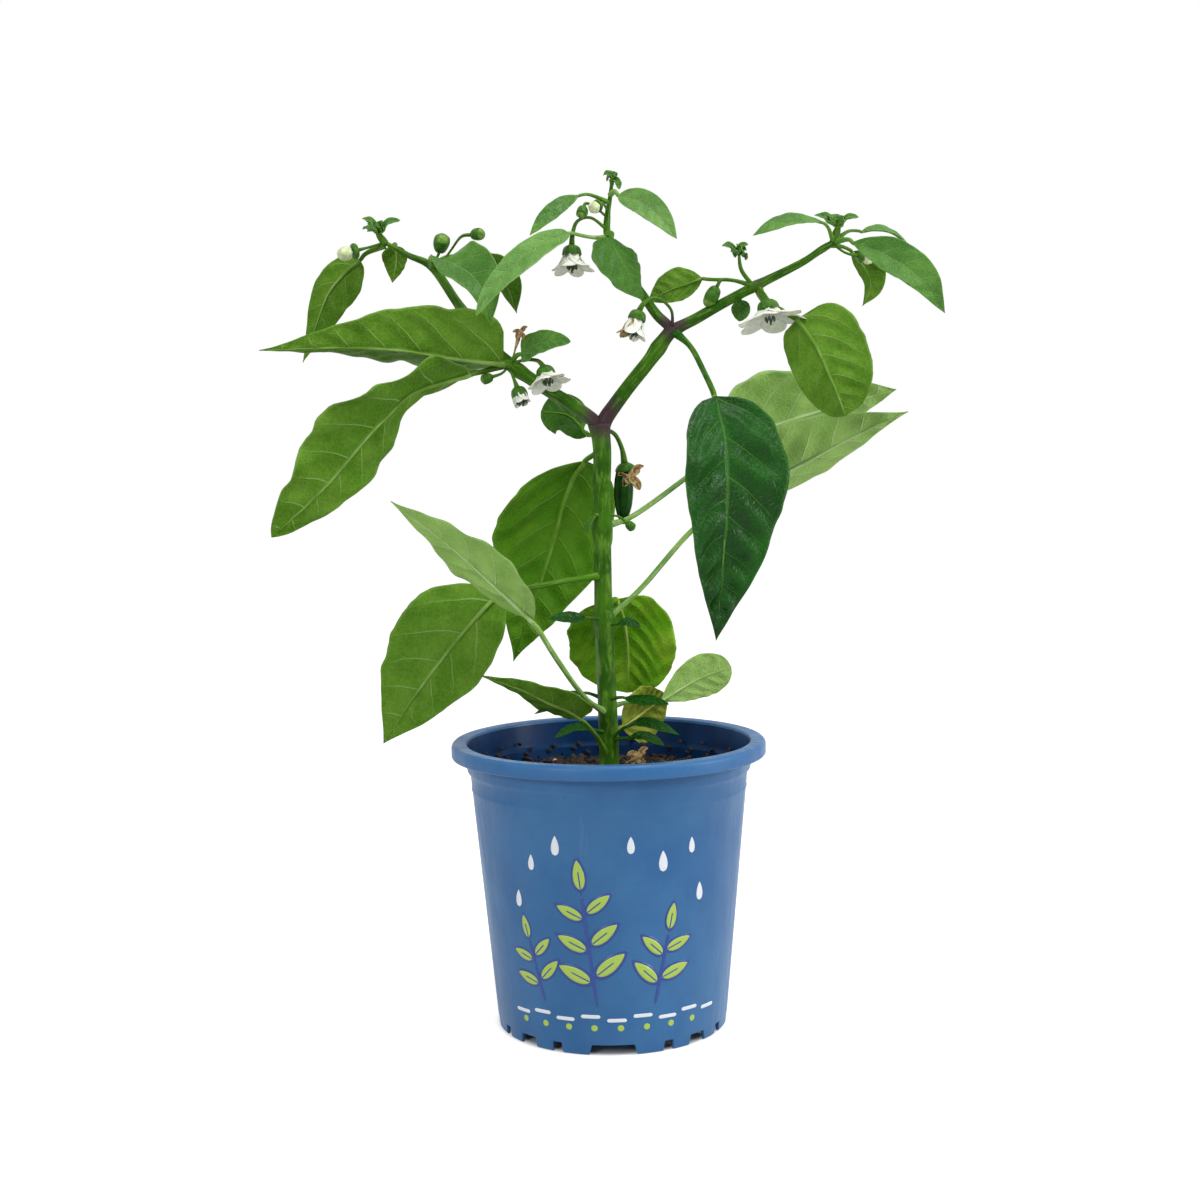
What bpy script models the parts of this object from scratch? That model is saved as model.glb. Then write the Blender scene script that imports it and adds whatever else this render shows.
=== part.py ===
"""Potted chilli pepper plant: a nursery pot, its potting soil and the plant that grows in it.

The frame is +Z up, with the origin under the middle of the pot's foot. Blender's unit here is
the metre. Routes and sizes are written in millimetres, because the plant's pieces are only a
few millimetres thick, and are turned to metres where a ring or a section is made.
"""
from dataclasses import dataclass
from math import cos, pi, radians, sin, sqrt

import bmesh
import bpy
from mathutils import Vector

MM = 0.001

# Pot, in millimetres: a 13 cm nursery pot with a turned-down rim.
RIM_RADIUS = 65.0
POT_HEIGHT = 118.0
MOUTH_RADIUS = 58.6
NECK_RADIUS = 57.4
FOOT_RADIUS = 47.6
WALL = 1.0
LIP_DROP = 5.7
NECK_HEIGHT = 105.5
BASE_UNDERSIDE = 6.0
BASE_THICKNESS = 1.4
FOOT_THICKNESS = 1.4
NOTCH_HEIGHT = 4.2
DRAIN_RADIUS = 3.5
DRAIN_CIRCLE = 36.0
DRAIN_COUNT = 8
ROUND_SIDES = 40

# Soil, in millimetres.
SOIL_EDGE = 100.5
SOIL_CROWN = 104.0

# Every piece keeps this gap to the one that carries it, in millimetres.
GAP = 0.3

# Plant, in millimetres.
STEM_SIDES = 8
STALK_HALF = 1.0
BLADE_HALF_THICKNESS = 0.45
BLADE_STATIONS = 11
CURVE_STEPS = 12


@dataclass(frozen=True)
class Stem:
    """A stem: its node's name, its parent, the points it passes and its radius at each."""
    name: str
    parents: tuple
    route: tuple
    radii: tuple


@dataclass(frozen=True)
class Leaf:
    """A leaf: its stalk from inside the parent stem, then the midrib of its blade.

    width is the blade's full width, belly is where along the blade it is widest, point is how
    sharply it narrows to the tip, fold is how far each half rises from flat in degrees, skew
    makes one half wider, and faces are the directions that its upper side looks in, from the
    base to the tip. waist is a narrow place: where, how deep and how long.
    """
    name: str
    parents: tuple
    stalk: tuple
    blade: tuple
    width: float
    belly: float
    point: float
    fold: float
    skew: float
    faces: tuple
    waist: tuple = ()


@dataclass(frozen=True)
class Bud:
    """A flower bud on its stalk: the stalk's route, then the bud's length and radius."""
    name: str
    parents: tuple
    stalk: tuple
    length: float
    radius: float


@dataclass(frozen=True)
class Flower:
    """A flower on its stalk: the stalk's route, the way it opens, its reach and its depth."""
    name: str
    parents: tuple
    stalk: tuple
    axis: tuple
    reach: float
    depth: float


@dataclass(frozen=True)
class Shoot:
    """A young shoot: a short stem, and small leaves that share its tip."""
    name: str
    parents: tuple
    stalk: tuple
    radius: float
    leaf_tips: tuple
    leaf_width: float


STEMS = (
    Stem("main_stem", (),
         ((0, 0, 78), (0, 0, 96.5), (0, 0, 117.5), (-0.5, 0, 142.5), (-1, 0, 167.5), (-1, 0, 188),
          (-1, 0, 217), (-0.5, 0, 236.5), (-1.5, 0, 248)),
         (3.4, 3.6, 3.5, 3.3, 3.2, 3.1, 3.1, 3.2, 3.3)),
    Stem("left_branch", ("main_stem",),
         ((-2.5, 0, 248), (-12.5, -1, 256), (-23.5, -2, 263), (-37.5, -3, 273), (-49.5, -3, 284.5),
          (-58.5, -1, 298), (-68.5, 2, 312.5), (-78, 3, 317.5), (-88, 3, 323)),
         (2.6, 2.5, 2.4, 2.3, 2.0, 1.7, 1.5, 1.1, 0.8)),
    Stem("right_branch", ("main_stem", "left_branch"),
         ((0.5, 0, 249), (6, -1, 257), (11, -2, 263.5), (18.5, -3, 272.5), (25.5, -3, 282), (29, -3, 286)),
         (2.8, 2.6, 2.5, 2.4, 2.4, 2.4)),
    Stem("middle_branch", ("right_branch",),
         ((27, -3, 287), (22.5, -2, 291.5), (17, -1, 299.5), (8, 0, 313), (3, 0, 323.5), (3, 0, 332),
          (4, 0, 338), (5, 0, 345)),
         (1.9, 1.8, 1.6, 1.4, 1.2, 1.0, 0.8, 0.6)),
    Stem("far_branch", ("right_branch", "middle_branch"),
         ((30, -3, 285.5), (38, -3, 289.5), (48, -2, 295), (63.5, 0, 303), (81, 1, 311.5), (89, 0, 316.5),
          (96, 0, 320.5)),
         (2.2, 2.1, 1.9, 1.7, 1.4, 1.2, 1.0)),
)

LEAVES = (
    Leaf("leaf_left_long", ("left_branch",), ((-37, -4, 272.5), (-38.5, -6, 272.8)),
         ((-40, -7, 273), (-60.5, -16, 275), (-79.5, -23, 278), (-102.5, -29, 279), (-133, -34, 278)),
         width=55, belly=0.2, point=1.3, fold=40, skew=0.2, faces=((0, 0.69, 0.73),)),
    Leaf("leaf_left_drooping", ("left_branch",), ((-38.5, -2, 273), (-47.5, -6, 270)),
         ((-54, -12, 268.5), (-62.5, -17, 266), (-76, -24, 261), (-85.5, -29, 251.5), (-92.5, -31, 244),
          (-109, -35, 224.5), (-130, -37, 205.5)),
         width=36, belly=0.42, point=0.8, fold=6, skew=-0.2,
         faces=((-0.2, 0.5, 0.9), (-0.15, 0.55, 0.85), (-0.13, 0.86, 0.5), (-0.13, 0.86, 0.5)),
         waist=(0.27, 0.45, 0.09)),
    Leaf("leaf_left_outer", ("left_branch",), ((-88, 3.5, 322), (-96, 6, 319)),
         ((-98.5, 8, 316.5), (-105, 11, 312), (-113, 14, 303.5), (-119.5, 18, 290), (-125.5, 20, 276)),
         width=20, belly=0.32, point=1.3, fold=24, skew=0.05, faces=((0.27, 0.95, 0.16),)),
    Leaf("leaf_left_small", ("left_branch",), ((-84, 3, 320.8), (-84, 6, 322.5)),
         ((-84, 8, 322), (-84, 10, 316), (-86, 11, 307.5)),
         width=11, belly=0.3, point=1.1, fold=19, skew=-0.2, faces=((0, -0.3, 1), (0, 1, 0.1), (0, 1, 0.1))),
    Leaf("leaf_left_upper_front", ("left_branch",), ((-68.5, 2, 312.5), (-68.5, -3, 315.5)),
         ((-68, -6, 315.5), (-60, -14, 312.5), (-52.5, -20, 308), (-46.5, -25, 300.5), (-43, -29, 286)),
         width=21.5, belly=0.38, point=1.3, fold=23, skew=-0.18,
         faces=((0.6, -0.2, 0.75), (0, -0.87, 0.49), (0, -0.87, 0.49), (0, -0.87, 0.49))),
    Leaf("leaf_left_upper_back", ("left_branch",), ((-68.5, 2, 312.5), (-64.5, 9, 317)),
         ((-60, 14, 318.5), (-50.5, 22, 316.5), (-40.5, 28, 309), (-36, 32, 296)),
         width=19, belly=0.48, point=1.3, fold=13, skew=0.03, faces=((0.45, 0.64, 0.62),)),
    Leaf("leaf_middle_long", ("middle_branch",), ((3, 0, 323), (-4, -7, 322.5)),
         ((-13, -12, 324), (-25, -20, 317.5), (-34.5, -28, 309), (-43, -34, 299.5), (-48.5, -38, 289.5)),
         width=13, belly=0.38, point=0.8, fold=28, skew=-0.2, faces=((0.08, -0.84, 0.54),)),
    Leaf("leaf_middle_top_left", ("middle_branch",), ((3.8, 0, 337), (-4, -2, 340)),
         ((-8.5, -4, 339.5), (-15, -8, 336.5), (-22, -12, 330.5), (-28, -16, 322.5)),
         width=7, belly=0.45, point=1, fold=4, skew=-0.2, faces=((0, -0.92, 0.39),)),
    Leaf("leaf_middle_top_right", ("middle_branch",), ((4.2, 0, 340), (6, -3, 341)),
         ((7.5, -5, 339), (16, -12, 335.5), (23.5, -17, 329), (30, -22, 319.5)),
         width=11.5, belly=0.41, point=0.97, fold=18, skew=0, faces=((-0.15, -0.92, 0.37),)),
    Leaf("leaf_middle_hanging", ("middle_branch",), ((3, 0, 324.5), (4.5, -5, 324)),
         ((4.5, -8, 322), (6, -11, 317), (8.5, -13, 312), (12, -13, 305), (17.5, -11, 296)),
         width=22.5, belly=0.36, point=1.3, fold=4, skew=0.2, faces=((0.49, -0.72, 0.48),)),
    Leaf("leaf_far_inner", ("far_branch", "shoot_far_side"), ((62.5, 0, 302.5), (54, 4, 305.5), (46.5, 5, 306)),
         ((41.5, 6, 306.5), (35.5, 8, 304.5), (29, 9, 302.5), (19, 10, 298)),
         width=14.5, belly=0.44, point=1.1, fold=5, skew=-0.2, faces=((0.25, 0.94, -0.23),)),
    Leaf("leaf_front_large", ("right_branch", "far_branch"), ((29.5, -4, 284.5), (35.5, -11, 278), (39.5, -20, 269)),
         ((44, -30, 257.5), (47, -37, 240.5), (47.5, -41, 221), (46.5, -41, 204), (45, -38, 184), (43, -34, 162)),
         width=42, belly=0.31, point=1.1, fold=6, skew=-0.14, faces=((0.25, -0.96, 0.14),)),
    Leaf("leaf_far_round", ("far_branch",), ((63.5, 0, 302.5), (66, 0, 297), (70.5, -5, 293.5)),
         ((78.5, -8, 288.5), (85, -13, 278), (89.5, -16, 267), (93.5, -16, 257.5), (97, -14, 249.5)),
         width=33, belly=0.4, point=0.4, fold=12, skew=0.2, faces=((0, 0.95, 0.32),)),
    Leaf("leaf_right_back", ("main_stem",), ((-0.5, 1, 206.5), (11, 8, 209.5), (33.5, 20, 224.5)),
         ((51, 28, 237.5), (73.5, 34, 247), (99.5, 38, 254.5), (126.5, 40, 261.5)),
         width=49, belly=0.27, point=1.07, fold=14, skew=0, faces=((0.1, 0.85, 0.52),)),
    Leaf("leaf_right_front", ("main_stem",), ((-0.5, 1, 167.5), (14, 4, 179.5), (36, 8, 203.5)),
         ((54.5, 10, 216.5), (76, 10, 227.5), (97.5, 8, 238.5), (110.5, 4, 245), (124.5, 0, 251)),
         width=43, belly=0.31, point=1.26, fold=23, skew=0.03, faces=((0.07, 0.63, 0.77),)),
    Leaf("leaf_back_large", ("main_stem",), ((-1, 1, 238), (-3.5, 8, 236)),
         ((-8.5, 14, 233), (-13, 22, 227), (-18, 30, 214.5), (-24.5, 36, 192.5), (-41, 41, 146)),
         width=57.5, belly=0.39, point=1.29, fold=4, skew=0, faces=((-0.47, 0.85, 0.24),)),
    Leaf("leaf_left_raised", ("main_stem",), ((-0.5, -1, 129), (-9.5, -10, 137), (-21, -22, 155.5)),
         ((-29, -28, 170.5), (-44, -36, 186), (-60, -42, 201.5), (-82, -46, 219)),
         width=36, belly=0.41, point=1.3, fold=7, skew=-0.07, faces=((0.41, 0.51, 0.75),)),
    Leaf("leaf_left_lower", ("main_stem",), ((-1, -1, 186), (-16.5, -8, 184.5), (-30.5, -14, 182.5)),
         ((-42.5, -17, 181), (-54.5, -21, 168.5), (-65, -22, 156), (-75.5, -21, 142.5), (-91, -18, 120.5)),
         width=43, belly=0.39, point=1.1, fold=5, skew=-0.2, faces=((0.23, 0.97, -0.13),)),
    Leaf("leaf_fork_back", ("main_stem",), ((-1, 1, 242), (-3, 6, 243)),
         ((-6, 10, 244), (-10, 14, 248), (-16, 17, 252.5), (-26, 19, 254)),
         width=19, belly=0.6, point=0.51, fold=4, skew=0,
         faces=((0, 0.1, 1), (-0.39, 0.88, -0.27), (-0.39, 0.88, -0.27), (-0.39, 0.88, -0.27))),
    Leaf("leaf_round_back", ("main_stem",), ((-1, 1, 172), (3, 8, 175)),
         ((4.5, 12, 175), (7.5, 18, 165.5), (9, 22, 150.5), (8.5, 23, 134)),
         width=48, belly=0.52, point=0.4, fold=13, skew=-0.14, faces=((0.16, 0.98, 0.11),)),
    Leaf("leaf_old_yellow", ("main_stem",), ((0, 1, 118), (5, 8, 121)),
         ((6, 10, 121), (12.5, 15, 125), (19, 20, 128.5), (26, 24, 132)),
         width=27, belly=0.46, point=0.9, fold=6, skew=-0.13, faces=((0.1, 0.91, 0.39),)),
    Leaf("leaf_low_front", ("main_stem",), ((0, -1, 134.5), (4, -6, 136)),
         ((7, -9, 136.5), (13, -16, 136.5), (19, -22, 136.5), (24.5, -27, 136)),
         width=7, belly=0.45, point=1.1, fold=6, skew=0, faces=((0, -0.6, 0.8),)),
    Leaf("leaf_low_base", ("main_stem",), ((0, -1, 116), (4, -5, 121.5)),
         ((7.5, -8, 124.5), (13, -13, 127), (19, -18, 126.5), (28.5, -24, 123)),
         width=6, belly=0.45, point=1.1, fold=6, skew=0, faces=((0, -0.6, 0.8),)),
    Leaf("leaf_low_spoon", ("main_stem",), ((0, 1, 131), (11.5, 5, 133)),
         ((22, 9, 132), (30.5, 13, 136.5), (39, 16, 140.5), (52.5, 18, 145)),
         width=18.5, belly=0.66, point=0.5, fold=4, skew=0.06, faces=((0.1, 0.98, 0.14),)),
    Leaf("leaf_low_folded", ("main_stem",), ((0, -1, 111), (-5, -10, 121), (-9, -17, 127)),
         ((-11, -19, 129.5), (-15, -22, 133), (-24, -26, 137.5), (-34.5, -30, 143.5), (-51, -34, 150)),
         width=22, belly=0.2, point=1.3, fold=16, skew=0.05, faces=((0.19, 0.63, 0.75),)),
    Leaf("leaf_low_back", ("main_stem",), ((-0.5, 1, 134), (-7.5, 4, 136.5)),
         ((-11.5, 6, 136.5), (-17.5, 8, 134.5), (-31, 12, 127)),
         width=6, belly=0.4, point=1.1, fold=6, skew=0, faces=((0, -0.6, 0.8),)),
    Leaf("leaf_small_shelf", ("main_stem",), ((-1, -1, 168), (-6, -6, 169)),
         ((-8.5, -8, 169.5), (-16.5, -12, 170), (-23.5, -17, 170)),
         width=6, belly=0.4, point=1.1, fold=6, skew=0, faces=((0, -0.75, 0.65),)),
    Leaf("leaf_cluster_small", ("left_branch",), ((-37, -3, 273.5), (-34.5, -6, 276)),
         ((-32.5, -7, 276.5), (-27, -11, 279.5), (-20, -14, 281), (-12.5, -16, 280.5)),
         width=13, belly=0.25, point=0.66, fold=14, skew=0, faces=((0, -0.83, 0.55),)),
    Leaf("leaf_crown_narrow", ("far_branch", "shoot_far"), ((94.5, 0, 319.5), (92, -3, 325)),
         ((89.5, -4, 327.5), (80, -8, 328.5), (71, -12, 326.5), (60.5, -16, 321)),
         width=8, belly=0.47, point=1, fold=4, skew=0, faces=((0.24, -0.57, 0.79),)),
    Leaf("leaf_crown_right", ("far_branch",), ((95, 0, 320), (99.5, -6, 320)),
         ((101, -8, 318.5), (107, -14, 315.5), (114, -20, 311), (125, -28, 301.5), (133, -33, 288)),
         width=15.5, belly=0.46, point=1.05, fold=18, skew=-0.1, faces=((-0.27, -0.86, 0.44),)),
    Leaf("leaf_crown_hanging", ("far_branch",), ((93, 0.2, 318.8), (99, 6, 318.5)),
         ((103.5, 9.5, 317), (110, 12, 309), (111.5, 13, 302.5), (108, 13, 295)),
         width=13, belly=0.38, point=1.3, fold=19, skew=0.17, faces=((0.63, 0.72, 0.28),)),
    Leaf("leaf_crown_back", ("far_branch", "shoot_far"), ((95.5, 0.3, 320.5), (101, 4, 324.5)),
         ((107, 8, 325), (113.5, 12, 326), (121.5, 18, 325), (131, 25, 319)),
         width=7.5, belly=0.47, point=1.1, fold=19, skew=0, faces=((0, -0.58, 0.82),)),
    Leaf("leaf_far_under", ("far_branch",), ((57.5, 0, 300), (57, 4, 299)),
         ((56.5, 5, 297.5), (57, 6, 293.5), (56.5, 6, 289)),
         width=8, belly=0.4, point=0.7, fold=10, skew=0, faces=((0, -1, 0.1),)),
)

BUDS = (
    Bud("bud_left_white", ("left_branch", "shoot_left"), ((-88, 3, 323), (-93, 0, 321), (-98, -2, 319.5)), 9, 3.3),
    Bud("bud_left_round", ("left_branch",), ((-69, 2, 313), (-66.2, 1.5, 317), (-65.2, -0.5, 319)), 8, 3.4),
    Bud("bud_left_end", ("left_branch",), ((-67, 1.5, 311), (-61, 2, 319), (-56.5, 1, 324.5), (-52, -1, 325)), 6, 2.6),
    Bud("bud_middle_green", ("middle_branch",), ((3, 0, 331), (-2, -3, 335), (-5.5, -6, 336), (-6.5, -8, 334)), 5, 2.4),
    Bud("bud_middle_pale", ("middle_branch",), ((3.2, 0, 333.5), (1.5, -3, 336), (-0.5, -6.5, 335)), 6, 2.7),
    Bud("bud_far_pale", ("far_branch",), ((62, -0.5, 302), (56.5, -5, 304), (49, -6, 305), (46.5, -5, 302)), 9, 3),
    Bud("bud_crown_pale", ("far_branch",), ((94, -0.3, 319), (99, 0, 315.5), (104.5, 0.5, 314)), 6.5, 2.8),
    Bud("bud_node_green", ("left_branch",), ((-37.5, -3, 272.5), (-40.5, -6.5, 269), (-44.5, -8, 267.5)), 5, 2.2),
)

FLOWERS = (
    Flower("flower_middle", ("middle_branch",),
           ((3, 0, 326), (-3.5, -4, 330.5), (-9, -7, 329), (-11, -9, 324), (-11.5, -9, 319)),
           (0, -0.25, -1), 9, 9),
    Flower("flower_fork", ("right_branch", "middle_branch"),
           ((28.5, -3.5, 285.5), (28, -8, 293), (22.5, -11, 297.5), (17.5, -12, 296), (15, -12.5, 292.5)),
           (-0.35, -0.2, -0.9), 5, 9),
    Flower("flower_far", ("far_branch",), ((63.5, -0.5, 302.5), (65.5, -6, 299), (66.5, -9, 296)),
           (0, -0.55, -0.85), 12, 8),
    Flower("flower_left_open", ("left_branch",), ((-37, -3.5, 273), (-31, -9, 274), (-26, -11, 273.5), (-23.5, -12, 271)),
           (0.3, -0.5, -0.8), 8, 7),
    Flower("flower_left_side", ("left_branch",), ((-38, -3, 272), (-36, -6.5, 267), (-34.5, -9, 263)),
           (0.45, -0.3, -0.85), 4, 7),
)

FRUIT_STALK = ((-0.5, 1, 246), (4.5, 7, 244), (7.5, 10, 238), (8.5, 11, 232))
FRUIT_ROUTE = ((8.3, 11, 228.2), (8, 11, 221), (7.8, 10.6, 214), (7.5, 10, 207))
FRUIT_RADII = (3.0, 3.9, 3.7, 1.2)
CALYX_RADIUS = 4.6
CALYX_DEPTH = 3.2

SHOOTS = (
    Shoot("shoot_left", ("left_branch",), ((-87.5, 3, 322.5), (-90, 2, 326)), 1.6,
          ((-96, -2, 332), (-81, 1, 331.5), (-97, 6, 329)), 3.5),
    Shoot("shoot_middle", ("middle_branch",), ((5, 0, 344), (5, 0, 346.5)), 0.9,
          ((1.5, 1, 348), (8, -2, 342), (5.5, 1, 349.5)), 2.2),
    Shoot("shoot_far", ("far_branch",), ((94.5, 0, 319.5), (96, -0.5, 325)), 1.8,
          ((87, 3, 331), (104, -4, 329), (94, 6, 331.5)), 3.5),
    Shoot("shoot_far_side", ("far_branch",), ((61.5, 0.3, 303), (57, -0.5, 309), (56, -1, 315)), 0.9,
          ((49, -4, 318.5), (59.5, -3, 319), (59, 3, 313.5)), 3),
)


def clear_scene():
    """Remove every object that the scene opens with."""
    for item in list(bpy.data.objects):
        bpy.data.objects.remove(item, do_unlink=True)


def material(name, colour, roughness):
    """Return a plain material of one linear colour."""
    made = bpy.data.materials.new(name)
    made.use_nodes = True
    shader = made.node_tree.nodes["Principled BSDF"]
    shader.inputs["Base Color"].default_value = (*colour, 1.0)
    shader.inputs["Roughness"].default_value = roughness
    made.diffuse_color = (*colour, 1.0)
    return made


def add_object(name, bm, finish):
    """Turn a bmesh into an object whose faces point outwards."""
    bmesh.ops.recalc_face_normals(bm, faces=bm.faces)
    if bm.calc_volume(signed=True) < 0:
        bmesh.ops.reverse_faces(bm, faces=bm.faces)
    mesh = bpy.data.meshes.new(name)
    bm.to_mesh(mesh)
    bm.free()
    mesh.shade_smooth()
    made = bpy.data.objects.new(name, mesh)
    bpy.context.scene.collection.objects.link(made)
    if finish:
        made.data.materials.append(finish)
    return made


def loft(name, rings, finish):
    """Join rings of points, in order, with a flat face at each end.

    Each side is cut in two triangles, and the cut leans the other way on every second side, so
    that the upper and lower faces of a thin twisted leaf stay parallel.
    """
    bm = bmesh.new()
    loops = [[bm.verts.new(corner) for corner in ring] for ring in rings]
    for low, high in zip(loops, loops[1:]):
        for i in range(len(low)):
            j = (i + 1) % len(low)
            if i % 2:
                bm.faces.new((low[i], low[j], high[i]))
                bm.faces.new((low[j], high[j], high[i]))
            else:
                bm.faces.new((low[i], low[j], high[j]))
                bm.faces.new((low[i], high[j], high[i]))
    bm.faces.new(loops[0])
    bm.faces.new(loops[-1])
    return add_object(name, bm, finish)


def turned(name, profile, finish, sides=ROUND_SIDES):
    """Turn a profile of (radius, height) about Z; a radius of 0 becomes a pole."""
    bm = bmesh.new()
    loops = []
    for radius, height in profile:
        if radius == 0:
            loops.append([bm.verts.new((0, 0, height * MM))])
            continue
        loops.append([bm.verts.new((radius * cos(2 * pi * i / sides) * MM,
                                    radius * sin(2 * pi * i / sides) * MM, height * MM))
                      for i in range(sides)])
    for low, high in zip(loops, loops[1:]):
        for i in range(sides):
            j = (i + 1) % sides
            if len(low) == 1:
                bm.faces.new((low[0], high[i], high[j]))
            elif len(high) == 1:
                bm.faces.new((low[i], low[j], high[0]))
            else:
                bm.faces.new((low[i], low[j], high[j], high[i]))
    return add_object(name, bm, finish)


def smooth_route(points, steps=CURVE_STEPS):
    """Return a Catmull-Rom curve through the points, with the given steps in each span."""
    route = [Vector(p) for p in points]
    route = [2 * route[0] - route[1], *route, 2 * route[-1] - route[-2]]
    curve = []
    for p0, p1, p2, p3 in zip(route, route[1:], route[2:], route[3:]):
        for k in range(steps):
            t = k / steps
            curve.append(0.5 * (2 * p1 + (p2 - p0) * t + (2 * p0 - 5 * p1 + 4 * p2 - p3) * t * t
                                + (3 * p1 - p0 - 3 * p2 + p3) * t ** 3))
    curve.append(route[-2])
    return curve


def evenly(curve, count):
    """Return `count` vectors evenly spaced along a polyline of vectors."""
    lengths = [0.0]
    for a, b in zip(curve, curve[1:]):
        lengths.append(lengths[-1] + (b - a).length)
    found = []
    span = 0
    for i in range(count):
        goal = lengths[-1] * i / (count - 1)
        while span < len(curve) - 2 and lengths[span + 1] < goal:
            span += 1
        part = (goal - lengths[span]) / max(lengths[span + 1] - lengths[span], 1e-12)
        found.append(curve[span].lerp(curve[span + 1], min(max(part, 0.0), 1.0)))
    return found


def tangents(route):
    """Return the unit direction of a route at each of its points."""
    ends = [route[0], *route, route[-1]]
    return [(after - before).normalized() for before, after in zip(ends, ends[2:])]


def ring(centre, direction, radius, sides, start=Vector((0, 1, 0)), lobes=0.0):
    """Return a ring of points about a direction; lobes pulls every second point inwards."""
    side = direction.cross(start).normalized()
    other = side.cross(direction).normalized()
    return [centre + (side * cos(2 * pi * i / sides) + other * sin(2 * pi * i / sides))
            * radius * (1 - lobes * (i % 2)) for i in range(sides)]


def tube(name, route, radii, finish, sides=STEM_SIDES, grow=0.0):
    """Make a tube through route points in millimetres; grow thickens and lengthens it."""
    ways = tangents(route)
    centres = list(route)
    centres[0] = centres[0] - ways[0] * grow
    centres[-1] = centres[-1] + ways[-1] * grow
    rings = [ring(c * MM, w, (r + grow) * MM, sides) for c, w, r in zip(centres, ways, radii)]
    return loft(name, rings, finish)


def seat_cutter(name, route, radii, sides=STEM_SIDES):
    """Make the hidden tool that seats one piece on a stem with the usual gap."""
    made = tube(f"cutter_{name}", route, radii, None, sides=sides, grow=GAP)
    made.hide_render = True
    made.display_type = 'WIRE'
    return made


def cut(made, cutter):
    """Take a cutter's shape out of an object."""
    step = made.modifiers.new(f"clear_{cutter.name}", 'BOOLEAN')
    step.operation = 'DIFFERENCE'
    step.object = cutter


def blade_half_width(leaf, t):
    """Return half the blade's width at t, from 0 at its base to 1 at its tip."""
    rise = leaf.point * leaf.belly / (1 - leaf.belly)
    peak = leaf.belly ** rise * (1 - leaf.belly) ** leaf.point
    width = leaf.width / 2 * t ** rise * (1 - t) ** leaf.point / peak
    if leaf.waist:
        place, depth, spread = leaf.waist
        width *= 1 - depth * 2.718 ** (-((t - place) / spread) ** 2)
    return width


def face_at(leaf, t):
    """Return the direction that the leaf's upper side looks in at t."""
    if len(leaf.faces) == 1:
        return Vector(leaf.faces[0])
    place = t * (len(leaf.faces) - 1)
    low = min(int(place), len(leaf.faces) - 2)
    return Vector(leaf.faces[low]).lerp(Vector(leaf.faces[low + 1]), place - low)


def leaf_section(centre, direction, face, half, half_depth, fold, skew):
    """Return a four-cornered section of a leaf: edge, upper side, edge, lower side."""
    up = (face - face.dot(direction) * direction).normalized()
    across = direction.cross(up)
    rise = up * sin(radians(fold))
    flat = across * cos(radians(fold))
    return [(centre + (rise - flat) * half * (1 - skew)) * MM, (centre + up * half_depth) * MM,
            (centre + (rise + flat) * half * (1 + skew)) * MM, (centre - up * half_depth) * MM]


def build_leaf(leaf, finish, cutters):
    """Loft a leaf from its stalk to its tip and seat it on its stem."""
    stalk = evenly(smooth_route((*leaf.stalk, leaf.blade[0])), 2 + 2 * len(leaf.stalk))[:-1]
    blade = evenly(smooth_route(leaf.blade), BLADE_STATIONS)
    route = stalk + blade
    ways = tangents(route)
    sections = []
    for i, (centre, way) in enumerate(zip(route, ways)):
        t = max(0.0, (i - len(stalk)) / (len(blade) - 1))
        stalk_half = STALK_HALF * (1 - 0.7 * t)
        half = max(blade_half_width(leaf, t), stalk_half)
        depth = BLADE_HALF_THICKNESS + (STALK_HALF - BLADE_HALF_THICKNESS) * (1 - t) ** 3
        fold = leaf.fold if t > 0 else 0.0
        skew = leaf.skew if t > 0 else 0.0
        start = 0.5 if i == 0 else 1.0
        sections.append(leaf_section(centre, way, face_at(leaf, t), half * start, depth * start, fold, skew))
    made = loft(leaf.name, sections, finish)
    for parent in leaf.parents:
        cut(made, cutters[parent])
    return made


def build_bud(bud, finish, cutters):
    """Make a stalk that swells into a closed bud."""
    stalk = evenly(smooth_route(bud.stalk), 5)
    ways = tangents(stalk)
    rings = [ring(c * MM, w, 0.6 * MM, STEM_SIDES) for c, w in zip(stalk, ways)]
    for part in (0.12, 0.35, 0.62, 0.85, 0.97):
        radius = bud.radius * sqrt(1 - (2 * part - 1) ** 2)
        rings.append(ring((stalk[-1] + ways[-1] * bud.length * part) * MM, ways[-1], radius * MM, STEM_SIDES))
    made = loft(bud.name, rings, finish)
    for parent in bud.parents:
        cut(made, cutters[parent])
    return made


def build_flower(flower, finish, cutters):
    """Make a stalk, its green cup and a lobed, hollow white bell as one closed shape."""
    sides = 12
    stalk = evenly(smooth_route(flower.stalk), 6)
    axis = Vector(flower.axis).normalized()
    rings = [ring(c * MM, w, 0.7 * MM, sides) for c, w in zip(stalk, tangents(stalk))]
    reach, depth = flower.reach, flower.depth
    head = ((0.08, 2.2, 0.0), (0.4, 2.9, 0.0), (0.75, 0.45 * reach + 1.4, 0.1), (1.0, reach, 0.35),
            (1.06, reach - 0.2, 0.35), (0.85, 0.45 * reach + 0.9, 0.1), (0.55, 1.2, 0.0))
    for along, radius, lobes in head:
        rings.append(ring((stalk[-1] + axis * depth * along) * MM, axis, radius * MM, sides, lobes=lobes))
    made = loft(flower.name, rings, finish)
    for parent in flower.parents:
        cut(made, cutters[parent])
    return made


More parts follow.
